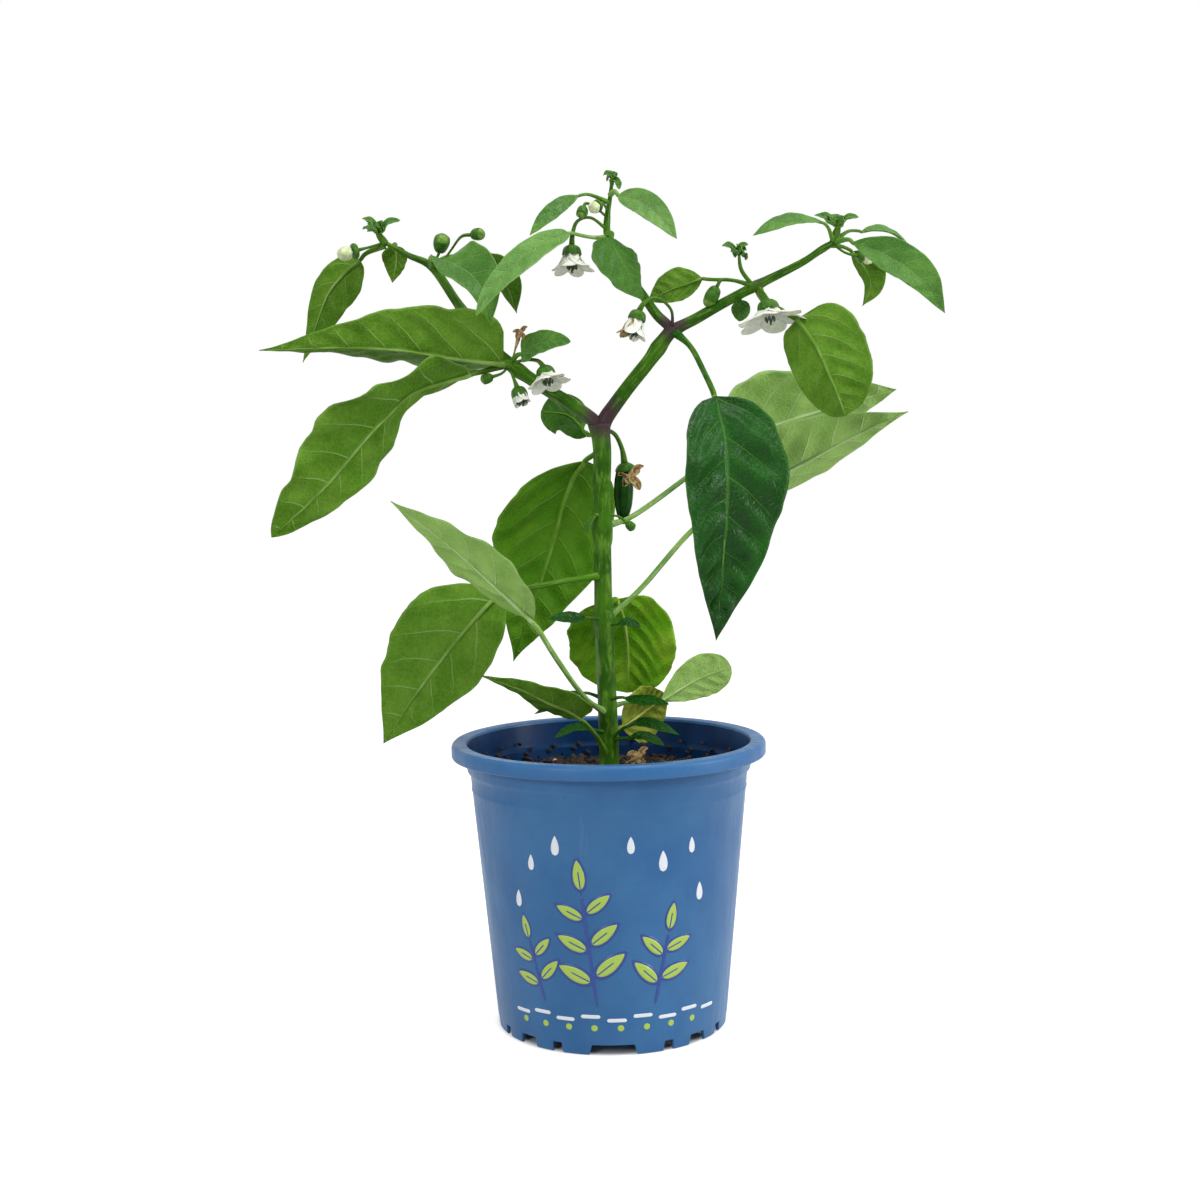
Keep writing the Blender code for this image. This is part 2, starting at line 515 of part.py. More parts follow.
def build_fruit(green, cutters):
    """Make the young pod and, apart from it, the cap and stalk that it hangs from."""
    route = evenly(smooth_route(FRUIT_STALK), 7)
    ways = tangents(route)
    rings = [ring(c * MM, w, 0.9 * MM, STEM_SIDES) for c, w in zip(route, ways)]
    end = route[-1]
    down = ways[-1]
    for along, radius in ((0.4, 2.2), (1.4, CALYX_RADIUS - 0.6), (CALYX_DEPTH, CALYX_RADIUS)):
        rings.append(ring((end + down * along) * MM, down, radius * MM, STEM_SIDES))
    cap = loft("fruit_cap", rings, green)
    cut(cap, cutters["main_stem"])
    pod_start = end + down * (CALYX_DEPTH + GAP)
    pod_route = evenly(smooth_route((tuple(pod_start), *FRUIT_ROUTE[1:])), 9)
    pod_ways = tangents(pod_route)
    pod_ways[0] = down
    pod_radii = [FRUIT_RADII[1] * sin(pi * (0.28 + 0.66 * i / 8)) ** 0.6 for i in range(9)]
    pod = [ring(c * MM, w, r * MM, STEM_SIDES) for c, w, r in zip(pod_route, pod_ways, pod_radii)]
    return cap, loft("fruit_pod", pod, green)


def build_shoot(shoot, finish, cutters):
    """Join a short stem and its tip leaves into one closed shape."""
    route = evenly(smooth_route(shoot.stalk), 4)
    radii = (shoot.radius * 0.4, shoot.radius * 0.7, shoot.radius, shoot.radius * 0.8)
    made = tube(shoot.name, route, radii, finish)
    for number, tip in enumerate(shoot.leaf_tips):
        start = route[-1] - tangents(route)[-1] * shoot.radius
        small = Leaf(f"cutter_{shoot.name}_{number}", (), (), (tuple(start), tuple(start.lerp(Vector(tip), 0.5)
                     + Vector((0, 0, 1))), tip), shoot.leaf_width, 0.4, 1.0, 15, 0.0, ((0.1, -0.5, 0.8),))
        blade = evenly(smooth_route(small.blade), 6)
        sections = []
        for i, (centre, way) in enumerate(zip(blade, tangents(blade))):
            half = max(blade_half_width(small, i / 5), 0.5)
            fold = small.fold if i else 0.0
            sections.append(leaf_section(centre, way, face_at(small, i / 5), half, 0.45, fold, 0.0))
        leaflet = loft(small.name, sections, None)
        leaflet.hide_render = True
        leaflet.display_type = 'WIRE'
        join = made.modifiers.new(f"join_{number}", 'BOOLEAN')
        join.operation = 'UNION'
        join.object = leaflet
    for parent in shoot.parents:
        cut(made, cutters[parent])
    return made


def inner_radius(height):
    """Return the radius of the pot's inner wall at a height below the neck."""
    floor = BASE_UNDERSIDE + BASE_THICKNESS
    low = FOOT_RADIUS - WALL + 0.7
    high = NECK_RADIUS - WALL
    return low + (high - low) * (height - floor) / (NECK_HEIGHT - WALL - floor)


def notch_cutters():
    """Make the hidden tool that opens the foot ring's notches and the drain holes."""
    bm = bmesh.new()
    inside, outside = FOOT_RADIUS - 4.0, FOOT_RADIUS + 3.0
    for quarter in range(4):
        for place, half_low, half_high in ((0, 9.8, 8.4), (27.5, 2.4, 1.9), (45, 4.6, 3.8), (62.5, 2.4, 1.9)):
            angle = radians(quarter * 90 + place)
            out = Vector((cos(angle), sin(angle), 0))
            side = Vector((-sin(angle), cos(angle), 0))
            loops = []
            for reach in (inside, outside):
                loops.append([bm.verts.new((out * reach + side * s + Vector((0, 0, z))) * MM)
                              for s, z in ((-half_low, -1), (half_low, -1), (half_high, NOTCH_HEIGHT),
                                           (-half_high, NOTCH_HEIGHT))])
            for i in range(4):
                j = (i + 1) % 4
                bm.faces.new((loops[0][i], loops[0][j], loops[1][j], loops[1][i]))
            bm.faces.new(loops[0])
            bm.faces.new(loops[1])
    sides = 10
    for hole in range(DRAIN_COUNT):
        angle = 2 * pi * (hole + 0.5) / DRAIN_COUNT
        centre = Vector((cos(angle), sin(angle), 0)) * DRAIN_CIRCLE
        ends = [[bm.verts.new((centre + Vector((DRAIN_RADIUS * cos(2 * pi * i / sides),
                                                DRAIN_RADIUS * sin(2 * pi * i / sides), z))) * MM)
                 for i in range(sides)] for z in (BASE_UNDERSIDE - 1, BASE_UNDERSIDE + BASE_THICKNESS + 1)]
        for i in range(sides):
            j = (i + 1) % sides
            bm.faces.new((ends[0][i], ends[0][j], ends[1][j], ends[1][i]))
        bm.faces.new(ends[0])
        bm.faces.new(ends[1])
    made = add_object("cutter_foot", bm, None)
    made.hide_render = True
    made.display_type = 'WIRE'
    return made


def build_pot(finish):
    """Turn the pot's wall, rim and base, and open its foot and its drain holes."""
    floor = BASE_UNDERSIDE + BASE_THICKNESS
    lip = POT_HEIGHT - LIP_DROP
    profile = ((0, BASE_UNDERSIDE), (FOOT_RADIUS - FOOT_THICKNESS, BASE_UNDERSIDE),
               (FOOT_RADIUS - FOOT_THICKNESS, 0), (FOOT_RADIUS, 0), (NECK_RADIUS, NECK_HEIGHT),
               (MOUTH_RADIUS, NECK_HEIGHT + 1), (MOUTH_RADIUS + WALL, POT_HEIGHT - 2.2),
               (RIM_RADIUS - 1.3, POT_HEIGHT - 2.2), (RIM_RADIUS - 1.2, lip), (RIM_RADIUS, lip),
               (RIM_RADIUS, POT_HEIGHT - 1.2), (RIM_RADIUS - 1.0, POT_HEIGHT), (MOUTH_RADIUS + 0.8, POT_HEIGHT),
               (MOUTH_RADIUS, POT_HEIGHT - 0.8), (MOUTH_RADIUS - WALL, NECK_HEIGHT + 1.4),
               (NECK_RADIUS - WALL, NECK_HEIGHT - WALL), (inner_radius(floor), floor), (0, floor))
    made = turned("pot", profile, finish)
    cut(made, notch_cutters())
    return made


def build_soil(finish, cutters):
    """Fill the pot with soil, mounded to the stem, with a hole for the root crown."""
    floor = BASE_UNDERSIDE + BASE_THICKNESS + GAP
    top = inner_radius(SOIL_EDGE) - GAP
    profile = ((0, floor), (inner_radius(floor) - GAP, floor), (top, SOIL_EDGE),
               (0.85 * top, SOIL_EDGE + 0.8), (0.55 * top, SOIL_CROWN - 0.9), (0.2 * top, SOIL_CROWN - 0.2), (0, SOIL_CROWN))
    made = turned("soil", profile, finish)
    cut(made, cutters["main_stem"])
    return made


def main():
    """Build every piece of the potted plant."""
    clear_scene()
    blue = material("pot_plastic", (0.09, 0.17, 0.34), 0.45)
    brown = material("potting_soil", (0.03, 0.018, 0.012), 0.95)
    stem_green = material("stem_green", (0.13, 0.27, 0.03), 0.5)
    leaf_green = material("leaf_green", (0.08, 0.2, 0.03), 0.45)
    white = material("petal_white", (0.75, 0.78, 0.65), 0.6)

    cutters = {}
    for stem in STEMS:
        route = [Vector(p) for p in stem.route]
        made = tube(stem.name, route, stem.radii, stem_green)
        for parent in stem.parents:
            cut(made, cutters[parent])
        cutters[stem.name] = seat_cutter(stem.name, route, stem.radii)
    for shoot in SHOOTS:
        build_shoot(shoot, leaf_green, cutters)
        route = evenly(smooth_route(shoot.stalk), 4)
        cutters[shoot.name] = seat_cutter(shoot.name, route, (shoot.radius,) * 4)
    build_pot(blue)
    build_soil(brown, cutters)
    for leaf in LEAVES:
        build_leaf(leaf, leaf_green, cutters)
    for bud in BUDS:
        build_bud(bud, leaf_green, cutters)
    for flower in FLOWERS:
        build_flower(flower, white, cutters)
    build_fruit(leaf_green, cutters)


main()
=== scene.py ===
"""Potted chilli pepper plant in flower, in a moulded nursery pot with potting soil.

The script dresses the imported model. Stems, leaves, buds, flowers and the young pod each grow from
a flat blank that is shaped along a route, and the pot and its soil are turned round the Z axis.
Routes and sizes are in millimetres and are turned to metres where a vertex is placed.
"""
from __future__ import annotations

import logging
from collections.abc import Callable, Sequence
from dataclasses import dataclass, field
from enum import Enum
from math import atan2, cos, exp, floor, pi, radians, sin, sqrt

import bpy
from mathutils import Matrix, Vector, noise

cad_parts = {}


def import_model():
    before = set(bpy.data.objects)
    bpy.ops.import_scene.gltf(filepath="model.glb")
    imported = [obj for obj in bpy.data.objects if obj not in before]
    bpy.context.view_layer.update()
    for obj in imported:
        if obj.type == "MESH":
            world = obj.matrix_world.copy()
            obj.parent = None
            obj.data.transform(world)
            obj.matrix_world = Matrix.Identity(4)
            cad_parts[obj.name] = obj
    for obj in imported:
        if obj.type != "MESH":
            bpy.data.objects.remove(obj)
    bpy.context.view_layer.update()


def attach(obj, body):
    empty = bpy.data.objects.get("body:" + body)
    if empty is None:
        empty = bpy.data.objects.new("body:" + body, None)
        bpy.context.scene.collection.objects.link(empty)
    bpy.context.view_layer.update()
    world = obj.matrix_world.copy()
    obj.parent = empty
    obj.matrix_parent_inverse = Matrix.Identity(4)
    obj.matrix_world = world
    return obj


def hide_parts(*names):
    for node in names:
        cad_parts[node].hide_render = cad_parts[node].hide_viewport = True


LOG = logging.getLogger("potted_chilli")
MM = 0.001
BODY = "root"
GROWTH_MAP = "growth"

Point = tuple[float, float, float]
Place = Callable[[float, float], Vector]


# ---------------------------------------------------------------------------------------------
# Small tools
# ---------------------------------------------------------------------------------------------

def linear(hex_colour: str) -> tuple[float, float, float, float]:
    """Turn an sRGB hex colour to linear.

    Args:
        hex_colour: six hex digits after a hash.

    Returns:
        The linear colour with an alpha of 1.
    """
    parts = [int(hex_colour[i:i + 2], 16) / 255 for i in (1, 3, 5)]
    red, green, blue = (p / 12.92 if p <= 0.04045 else ((p + 0.055) / 1.055) ** 2.4 for p in parts)
    return red, green, blue, 1.0


def add_node(tree: bpy.types.NodeTree, kind: str, settings: dict | None = None,
             inputs: dict | None = None) -> bpy.types.Node:
    """Add a node with its settings, and values or links for its inputs.

    Args:
        tree: the material's node tree.
        kind: the node's type name.
        settings: attribute values of the node.
        inputs: values, or output sockets to link, by input name or number.

    Returns:
        The new node.
    """
    node = tree.nodes.new(kind)
    for name, value in (settings or {}).items():
        setattr(node, name, value)
    for name, value in (inputs or {}).items():
        if isinstance(value, bpy.types.NodeSocket):
            tree.links.new(value, node.inputs[name])
        else:
            node.inputs[name].default_value = value
    return node


def new_material(name: str) -> tuple[bpy.types.Material, bpy.types.NodeTree, bpy.types.Node]:
    """Return a new node material, its tree and its Principled shader."""
    made = bpy.data.materials.new(name)
    made.use_nodes = True
    return made, made.node_tree, made.node_tree.nodes["Principled BSDF"]


def select_only(thing: bpy.types.Object) -> None:
    """Deselect everything else and make one object active."""
    bpy.ops.object.select_all(action="DESELECT")
    thing.select_set(True)
    bpy.context.view_layer.objects.active = thing


def mix_sockets(tree: bpy.types.NodeTree, factor: object, first: object, second: object) -> bpy.types.NodeSocket:
    """Blend two colours, each a colour or a socket.

    Args:
        tree: the material's node tree.
        factor: how much of the second colour, a number or a socket.
        first: the first colour.
        second: the second colour.

    Returns:
        The blended colour's socket.
    """
    node = add_node(tree, "ShaderNodeMix", {"data_type": "RGBA"}, {0: factor, 6: first, 7: second})
    return node.outputs[2]


def math_socket(tree: bpy.types.NodeTree, operation: str, first: object,
                second: object = 0.0) -> bpy.types.NodeSocket:
    """Return the socket of one sum on numbers or sockets."""
    return add_node(tree, "ShaderNodeMath", {"operation": operation}, {0: first, 1: second}).outputs[0]


def ramp_socket(tree: bpy.types.NodeTree, value: object, low: float, high: float,
                at_low: float = 0.0, at_high: float = 1.0) -> bpy.types.NodeSocket:
    """Return a smooth step of a value between two levels.

    Args:
        tree: the material's node tree.
        value: the socket that is read.
        low: where the step starts.
        high: where the step ends.
        at_low: the result below the step.
        at_high: the result above the step.

    Returns:
        The step's socket.
    """
    node = add_node(tree, "ShaderNodeMapRange", {"interpolation_type": "SMOOTHSTEP"},
                    {0: value, 1: low, 2: high, 3: at_low, 4: at_high})
    return node.outputs[0]


# ---------------------------------------------------------------------------------------------
# Routes and blanks
# ---------------------------------------------------------------------------------------------

def smooth_route(points: Sequence[Sequence[float]], steps: int = 12) -> list[Vector]:
    """Return a Catmull-Rom curve through control points, with some steps in each span."""
    route = [Vector(p) for p in points]
    route = [2 * route[0] - route[1], *route, 2 * route[-1] - route[-2]]
    curve = []
    for p0, p1, p2, p3 in zip(route, route[1:], route[2:], route[3:]):
        for k in range(steps):
            t = k / steps
            curve.append(0.5 * (2 * p1 + (p2 - p0) * t + (2 * p0 - 5 * p1 + 4 * p2 - p3) * t * t
                                + (3 * p1 - p0 - 3 * p2 + p3) * t ** 3))
    curve.append(route[-2])
    return curve


def route_length(curve: Sequence[Vector]) -> float:
    """Return the length of a line of points."""
    return sum((b - a).length for a, b in zip(curve, curve[1:]))


def evenly(curve: Sequence[Vector], count: int) -> list[Vector]:
    """Return some points spaced evenly along a line of points."""
    lengths = [0.0]
    for a, b in zip(curve, curve[1:]):
        lengths.append(lengths[-1] + (b - a).length)
    found = []
    span = 0
    for i in range(count):
        goal = lengths[-1] * i / (count - 1)
        while span < len(curve) - 2 and lengths[span + 1] < goal:
            span += 1
        part = (goal - lengths[span]) / max(lengths[span + 1] - lengths[span], 1e-9)
        found.append(curve[span].lerp(curve[span + 1], min(max(part, 0.0), 1.0)))
    return found


def tangents(route: Sequence[Vector]) -> list[Vector]:
    """Return the direction of a route at each of its points."""
    ends = [route[0], *route, route[-1]]
    return [(after - before).normalized() for before, after in zip(ends, ends[2:])]


@dataclass(frozen=True)
class Station:
    """One place on a route: its centre, its direction and two directions across it."""
    centre: Vector
    way: Vector
    side: Vector
    up: Vector


def carried_stations(route: Sequence[Vector], first_up: Vector = Vector((0, -0.3, 1))) -> list[Station]:
    """Carry one cross direction along a route without twisting it.

    Args:
        route: the route's points.
        first_up: the direction that the first station's up leans to.

    Returns:
        One station for each point.
    """
    found = []
    up = first_up
    for centre, way in zip(route, tangents(route)):
        flat = up - up.dot(way) * way
        if flat.length < 1e-3:
            flat = Vector((1, 0.2, 0)) - Vector((1, 0.2, 0)).dot(way) * way
        up = flat.normalized()
        found.append(Station(centre, way, way.cross(up), up))
    return found


def between(stations: Sequence[Station], u: float) -> Station:
    """Return the station at u, from 0 at the first to 1 at the last."""
    place = min(max(u, 0.0), 1.0) * (len(stations) - 1)
    low = min(int(place), len(stations) - 2)
    a, b, part = stations[low], stations[low + 1], place - low
    return Station(a.centre.lerp(b.centre, part), a.way.lerp(b.way, part).normalized(),
                   a.side.lerp(b.side, part).normalized(), a.up.lerp(b.up, part).normalized())


def flat_blank(name: str, along: int, across: int) -> bpy.types.Object:
    """Add a unit grid that is cut in some faces along X and across Y."""
    bpy.ops.object.select_all(action="DESELECT")
    bpy.ops.mesh.primitive_grid_add(x_subdivisions=along, y_subdivisions=across, size=1.0, calc_uvs=True)
    made = bpy.context.object
    made.name = made.data.name = name
    made.data.uv_layers[0].name = GROWTH_MAP
    return made


def shape_blank(blank: bpy.types.Object, place: Place, chart: Callable[[float, float], tuple[float, float]] | None
                = None) -> None:
    """Move a unit grid's vertices to their places, and write its growth map.

    Args:
        blank: the grid.
        place: gives a point in millimetres for u along and v across, each from 0 to 1.
        chart: gives the growth map's two values for u and v, if they aren't u and v themselves.
    """
    mesh = blank.data
    spots = [(v.co.x + 0.5, v.co.y + 0.5) for v in mesh.vertices]
    if chart:
        values = [chart(u, v) for u, v in spots]
        layer = mesh.uv_layers[GROWTH_MAP]
        for loop in mesh.loops:
            layer.data[loop.index].uv = values[loop.vertex_index]
    for vertex, (u, v) in zip(mesh.vertices, spots):
        vertex.co = place(u, v) * MM
    mesh.update()


def close_blank(made: bpy.types.Object) -> None:
    """Join a rolled blank's seam and poles and turn its faces outwards."""
    select_only(made)
    bpy.ops.object.mode_set(mode="EDIT")
    bpy.ops.mesh.select_all(action="SELECT")
    bpy.ops.mesh.remove_doubles(threshold=2e-6)
    bpy.ops.mesh.normals_make_consistent(inside=False)
    bpy.ops.object.mode_set(mode="OBJECT")
    made.data.shade_smooth()


def rolled_blank(name: str, route: Sequence[Vector], radius_at: Callable[[float, float], float],
                 along: int, around: int, first_up: Vector = Vector((0, -0.3, 1))) -> bpy.types.Object:
    """Roll a flat blank round a route into a closed tube.

    Args:
        name: the new object's name.
        route: the points that the tube's middle follows, in millimetres.
        radius_at: gives the radius for u along the route and an angle round it.
        along: faces along the tube.
        around: faces round the tube.
        first_up: the direction from which angles are counted at the first point.

    Returns:
        The tube, closed at both ends.
    """
    stations = carried_stations(route, first_up)
    length = route_length(route)
    blank = flat_blank(name, along, around)

    def place(u: float, v: float) -> Vector:
        """Return the point at u along and v round the tube."""
        inner = min(max((u * along - 1) / (along - 2), 0.0), 1.0)
        at = between(stations, inner)
        if u < 0.2 / along or u > 1 - 0.2 / along:
            return at.centre
        angle = 2 * pi * v
        return at.centre + (at.side * cos(angle) + at.up * sin(angle)) * radius_at(inner, angle)

    shape_blank(blank, place, lambda u, v: (u * length, v))
    close_blank(blank)
    return blank


def apply_modifier(made: bpy.types.Object, kind: str, **settings: object) -> None:
    """Add a modifier with its settings and apply it."""
    select_only(made)
    step = made.modifiers.new(kind.lower(), kind)
    for name, value in settings.items():
        setattr(step, name, value)
    bpy.ops.object.modifier_apply(modifier=step.name)


def join(name: str, parts: Sequence[bpy.types.Object]) -> bpy.types.Object:
    """Join parts into one object and give it a name."""
    select_only(parts[0])
    for part in parts[1:]:
        part.select_set(True)
    if len(parts) > 1:
        bpy.ops.object.join()
    made = bpy.context.view_layer.objects.active
    made.name = made.data.name = name
    return made


def hand_over(made: bpy.types.Object, slot: str, *nodes: str) -> None:
    """Let a finished piece ride on the part and stand for its CAD nodes."""
    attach(made, BODY)
    if nodes:
        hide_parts(*nodes)
    LOG.info("%s: %d faces", made.name, len(made.data.polygons))


def grit(point: Vector, size: float, seed: float = 0.0) -> float:
    """Return smooth noise of about -1 to 1 at a point, with bumps of a size in millimetres."""
    return noise.noise(point / size + Vector((seed, seed * 1.7, -seed)))


# ---------------------------------------------------------------------------------------------
# Finishes
# ---------------------------------------------------------------------------------------------

class LeafTone(Enum):
    """Ages of a leaf, from the crown down to the oldest leaf at the foot, and lit and shaded copies of its colour:
    SHADED is painted shade, DARK is a glossy upper side darkened further by painted shade, and PALE and BRIGHT are
    painted light.
    """
    YOUNG = "young"
    MATURE = "mature"
    DARK = "dark"
    SHADED = "shaded"
    PALE = "pale"
    BRIGHT = "bright"
    OLD = "old"


@dataclass(frozen=True)
class LeafFinish:
    """Living pepper leaf: waxy cuticle above, matt mesophyll below.

    The waxed upper side gives soft, broken highlights over the puckered skin between its veins.
    The underside is matt and paler, and its veins stand out in a lighter green.
    """
    name: str
    upper: str
    upper_shade: str
    upper_vein: str
    lower: str
    lower_shade: str
    lower_vein: str
    upper_roughness: float = 0.4
    lower_roughness: float = 0.62
    spots: float = 0.0
    wax: float = 0.2

    # Net veins are about 2 mm apart and the mottling is about 15 mm across.
    net_mm: float = 2.1
    mottle_mm: float = 15.0

    def veins(self, tree: bpy.types.NodeTree) -> tuple[bpy.types.NodeSocket, ...]:
        """Draw the midrib and the side veins from the leaf's growth map.

        Args:
            tree: the material's node tree.

        Returns:
            The vein mask, the fine net's mask and the distance from the midrib.
        """
        chart = add_node(tree, "ShaderNodeUVMap", {"uv_map": GROWTH_MAP})
        parts = add_node(tree, "ShaderNodeSeparateXYZ", {}, {0: chart.outputs[0]})
        aside = math_socket(tree, "ABSOLUTE", parts.outputs[1])
        beat = math_socket(tree, "FRACT", parts.outputs[0])
        off = math_socket(tree, "ABSOLUTE", math_socket(tree, "SUBTRACT", beat, 0.5))
        fade = ramp_socket(tree, aside, 0.35, 0.97, 1.0, 0.15)
        side_veins = math_socket(tree, "MULTIPLY", ramp_socket(tree, off, 0.006, 0.045, 1.0, 0.0), fade)
        midrib = ramp_socket(tree, aside, 0.012, 0.055, 1.0, 0.0)
        mask = math_socket(tree, "MAXIMUM", side_veins, midrib)
        place = add_node(tree, "ShaderNodeTexCoord").outputs["Object"]
        cells = add_node(tree, "ShaderNodeTexVoronoi", {"feature": "DISTANCE_TO_EDGE"},
                         {"Vector": place, "Scale": 1000 / self.net_mm})
        net = ramp_socket(tree, cells.outputs["Distance"], 0.0, 0.16, 1.0, 0.0)
        return mask, net, aside

    def side(self, upper: bool) -> bpy.types.Material:
        """Build the material of one side of the leaf.

        Args:
            upper: True for the waxed side, False for the matt one.

        Returns:
            The material.
        """
        label = "waxed_top" if upper else "matt_underside"
        base, shade, vein = ((self.upper, self.upper_shade, self.upper_vein) if upper
                             else (self.lower, self.lower_shade, self.lower_vein))
        made, tree, shader = new_material(f"{self.name}_leaf_{label}")
        mask, net, aside = self.veins(tree)
        place = add_node(tree, "ShaderNodeTexCoord").outputs["Object"]
        mottle = add_node(tree, "ShaderNodeTexNoise", {}, {"Vector": place, "Scale": 1000 / self.mottle_mm,
                                                           "Detail": 5.0, "Roughness": 0.6}).outputs[0]
        fine = add_node(tree, "ShaderNodeTexNoise", {}, {"Vector": place, "Scale": 900.0,
                                                         "Detail": 3.0}).outputs[0]
        patch = ramp_socket(tree, mottle, 0.36, 0.66)
        colour = mix_sockets(tree, patch, linear(shade), linear(base))
        colour = mix_sockets(tree, math_socket(tree, "MULTIPLY", net, 0.08 if upper else 0.14), colour, linear(vein))
        colour = mix_sockets(tree, ramp_socket(tree, aside, 0.93, 1.0, 0.0, 0.35), colour, linear(vein))
        if self.spots:
            blotch = ramp_socket(tree, mottle, 0.52, 0.6, 0.0, self.spots)
            colour = mix_sockets(tree, blotch, colour, linear("#a08a3e"))
            speck = add_node(tree, "ShaderNodeTexVoronoi", {}, {"Vector": place, "Scale": 170.0})
            colour = mix_sockets(tree, ramp_socket(tree, speck.outputs["Distance"], 0.07, 0.12, self.spots, 0.0),
                                 colour, linear("#1c1a0e"))
        colour = mix_sockets(tree, math_socket(tree, "MULTIPLY", mask, 0.55 if upper else 0.66), colour, linear(vein))
        tree.links.new(colour, shader.inputs["Base Color"])
        rough = self.upper_roughness if upper else self.lower_roughness
        tree.links.new(ramp_socket(tree, mottle, 0.3, 0.7, rough - 0.06, rough + 0.1), shader.inputs["Roughness"])
        relief = math_socket(tree, "MULTIPLY_ADD", mask, -1.0 if upper else 1.4)
        relief.node.inputs[2].default_value = 0.0
        relief = math_socket(tree, "ADD", relief, math_socket(tree, "MULTIPLY", net, -0.3 if upper else 0.35))
        relief = math_socket(tree, "ADD", relief, math_socket(tree, "MULTIPLY", fine, 0.1))
        bump = add_node(tree, "ShaderNodeBump", {}, {"Strength": 0.75, "Distance": 0.0004, "Height": relief})
        tree.links.new(bump.outputs[0], shader.inputs["Normal"])
        shader.inputs["Specular IOR Level"].default_value = self.wax if upper else 0.08
        shader.inputs["Subsurface Weight"].default_value = 0.2
        shader.inputs["Subsurface Radius"].default_value = (0.4, 1.0, 0.15)
        shader.inputs["Subsurface Scale"].default_value = 0.0012
        return made


LEAF_FINISHES = {
    LeafTone.YOUNG: LeafFinish("young", "#55862e", "#3b6d1c", "#7ca658", "#568228", "#427018", "#8aaa5a", 0.42),
    LeafTone.MATURE: LeafFinish("mature", "#46790e", "#316407", "#6d9440", "#5f8826", "#4a7612", "#8cad5c", 0.4),
    # DARK: a glossy upper side, darkened further as painted shade.
    LeafTone.DARK: LeafFinish("dark", "#0f4d03", "#073c01", "#467c2c", "#466f16", "#34600a", "#76984a", 0.34, wax=0.17),
    # SHADED: the leaf colour darkened as painted shade.
    LeafTone.SHADED: LeafFinish("shaded", "#3a6c12", "#2a5c08", "#5f8a30", "#5c901c", "#4a8210", "#82ac44", 0.42),
    # PALE: the leaf colour lightened as painted light.
    LeafTone.PALE: LeafFinish("pale", "#6a9648", "#558438", "#90b36c", "#9cc068", "#88ae56", "#bcd698", 0.42),
    # BRIGHT: the leaf colour lightened as painted light; its blotches and specks are its own.
    LeafTone.BRIGHT: LeafFinish("bright", "#5a8c14", "#4a7c0a", "#86a848", "#7ab21e", "#62a00e", "#a6ca5a", 0.45,
                                spots=0.14),
    LeafTone.OLD: LeafFinish("old", "#98a838", "#7c9224", "#bcbe6a", "#9cac3c", "#7f9428", "#c2c672", 0.5,
                             spots=0.22),
}


@dataclass(frozen=True)
class NodeTint:
    """Where a stem is tinted purple-brown: the joint's place and how far the tint reaches, in mm."""
    place: Point
    reach: float
    depth: float = 1.0


@dataclass(frozen=True)
class StemFinish:
    """Green living stem: ribbed, satin skin with fine hairs that soften its highlight."""
    name: str
    light: str
    shade: str
    streak: str
    tints: tuple[NodeTint, ...] = ()
    roughness: float = 0.42

    def material(self) -> bpy.types.Material:
        """Build the stem's material, with streaks along it and purple joints."""
        made, tree, shader = new_material(self.name)
        place = add_node(tree, "ShaderNodeTexCoord").outputs["Object"]
        chart = add_node(tree, "ShaderNodeUVMap", {"uv_map": GROWTH_MAP})
        stretch = add_node(tree, "ShaderNodeMapping", {}, {"Vector": chart.outputs[0], "Scale": (0.12, 9.0, 1.0)})
        streaks = add_node(tree, "ShaderNodeTexNoise", {}, {"Vector": stretch.outputs[0], "Scale": 1.0,
                                                            "Detail": 4.0, "Roughness": 0.65}).outputs[0]
        mottle = add_node(tree, "ShaderNodeTexNoise", {}, {"Vector": place, "Scale": 90.0, "Detail": 4.0}).outputs[0]
        fine = add_node(tree, "ShaderNodeTexNoise", {}, {"Vector": place, "Scale": 1400.0, "Detail": 2.0}).outputs[0]
        colour = mix_sockets(tree, ramp_socket(tree, mottle, 0.35, 0.65), linear(self.shade), linear(self.light))
        colour = mix_sockets(tree, ramp_socket(tree, streaks, 0.48, 0.66, 0.0, 0.6), colour, linear(self.streak))
        for tint in self.tints:
            reach = add_node(tree, "ShaderNodeVectorMath", {"operation": "DISTANCE"},
                             {0: place, 1: Vector(tint.place) * MM}).outputs["Value"]
            rough_reach = math_socket(tree, "ADD", reach, math_socket(tree, "MULTIPLY", mottle, 0.004))
            near = ramp_socket(tree, rough_reach, tint.reach * 0.35 * MM, tint.reach * MM, tint.depth, 0.0)
            colour = mix_sockets(tree, near, colour, linear("#46303a"))
        tree.links.new(colour, shader.inputs["Base Color"])
        tree.links.new(ramp_socket(tree, fine, 0.3, 0.7, self.roughness - 0.06, self.roughness + 0.12),
                       shader.inputs["Roughness"])
        height = math_socket(tree, "ADD", math_socket(tree, "MULTIPLY", streaks, 1.0),
                             math_socket(tree, "MULTIPLY", fine, 0.35))
        bump = add_node(tree, "ShaderNodeBump", {}, {"Strength": 0.6, "Distance": 0.0004, "Height": height})
        tree.links.new(bump.outputs[0], shader.inputs["Normal"])
        shader.inputs["Subsurface Weight"].default_value = 0.15
        shader.inputs["Subsurface Radius"].default_value = (0.5, 1.0, 0.2)
        shader.inputs["Subsurface Scale"].default_value = 0.001
        shader.inputs["Specular IOR Level"].default_value = 0.1
        return made


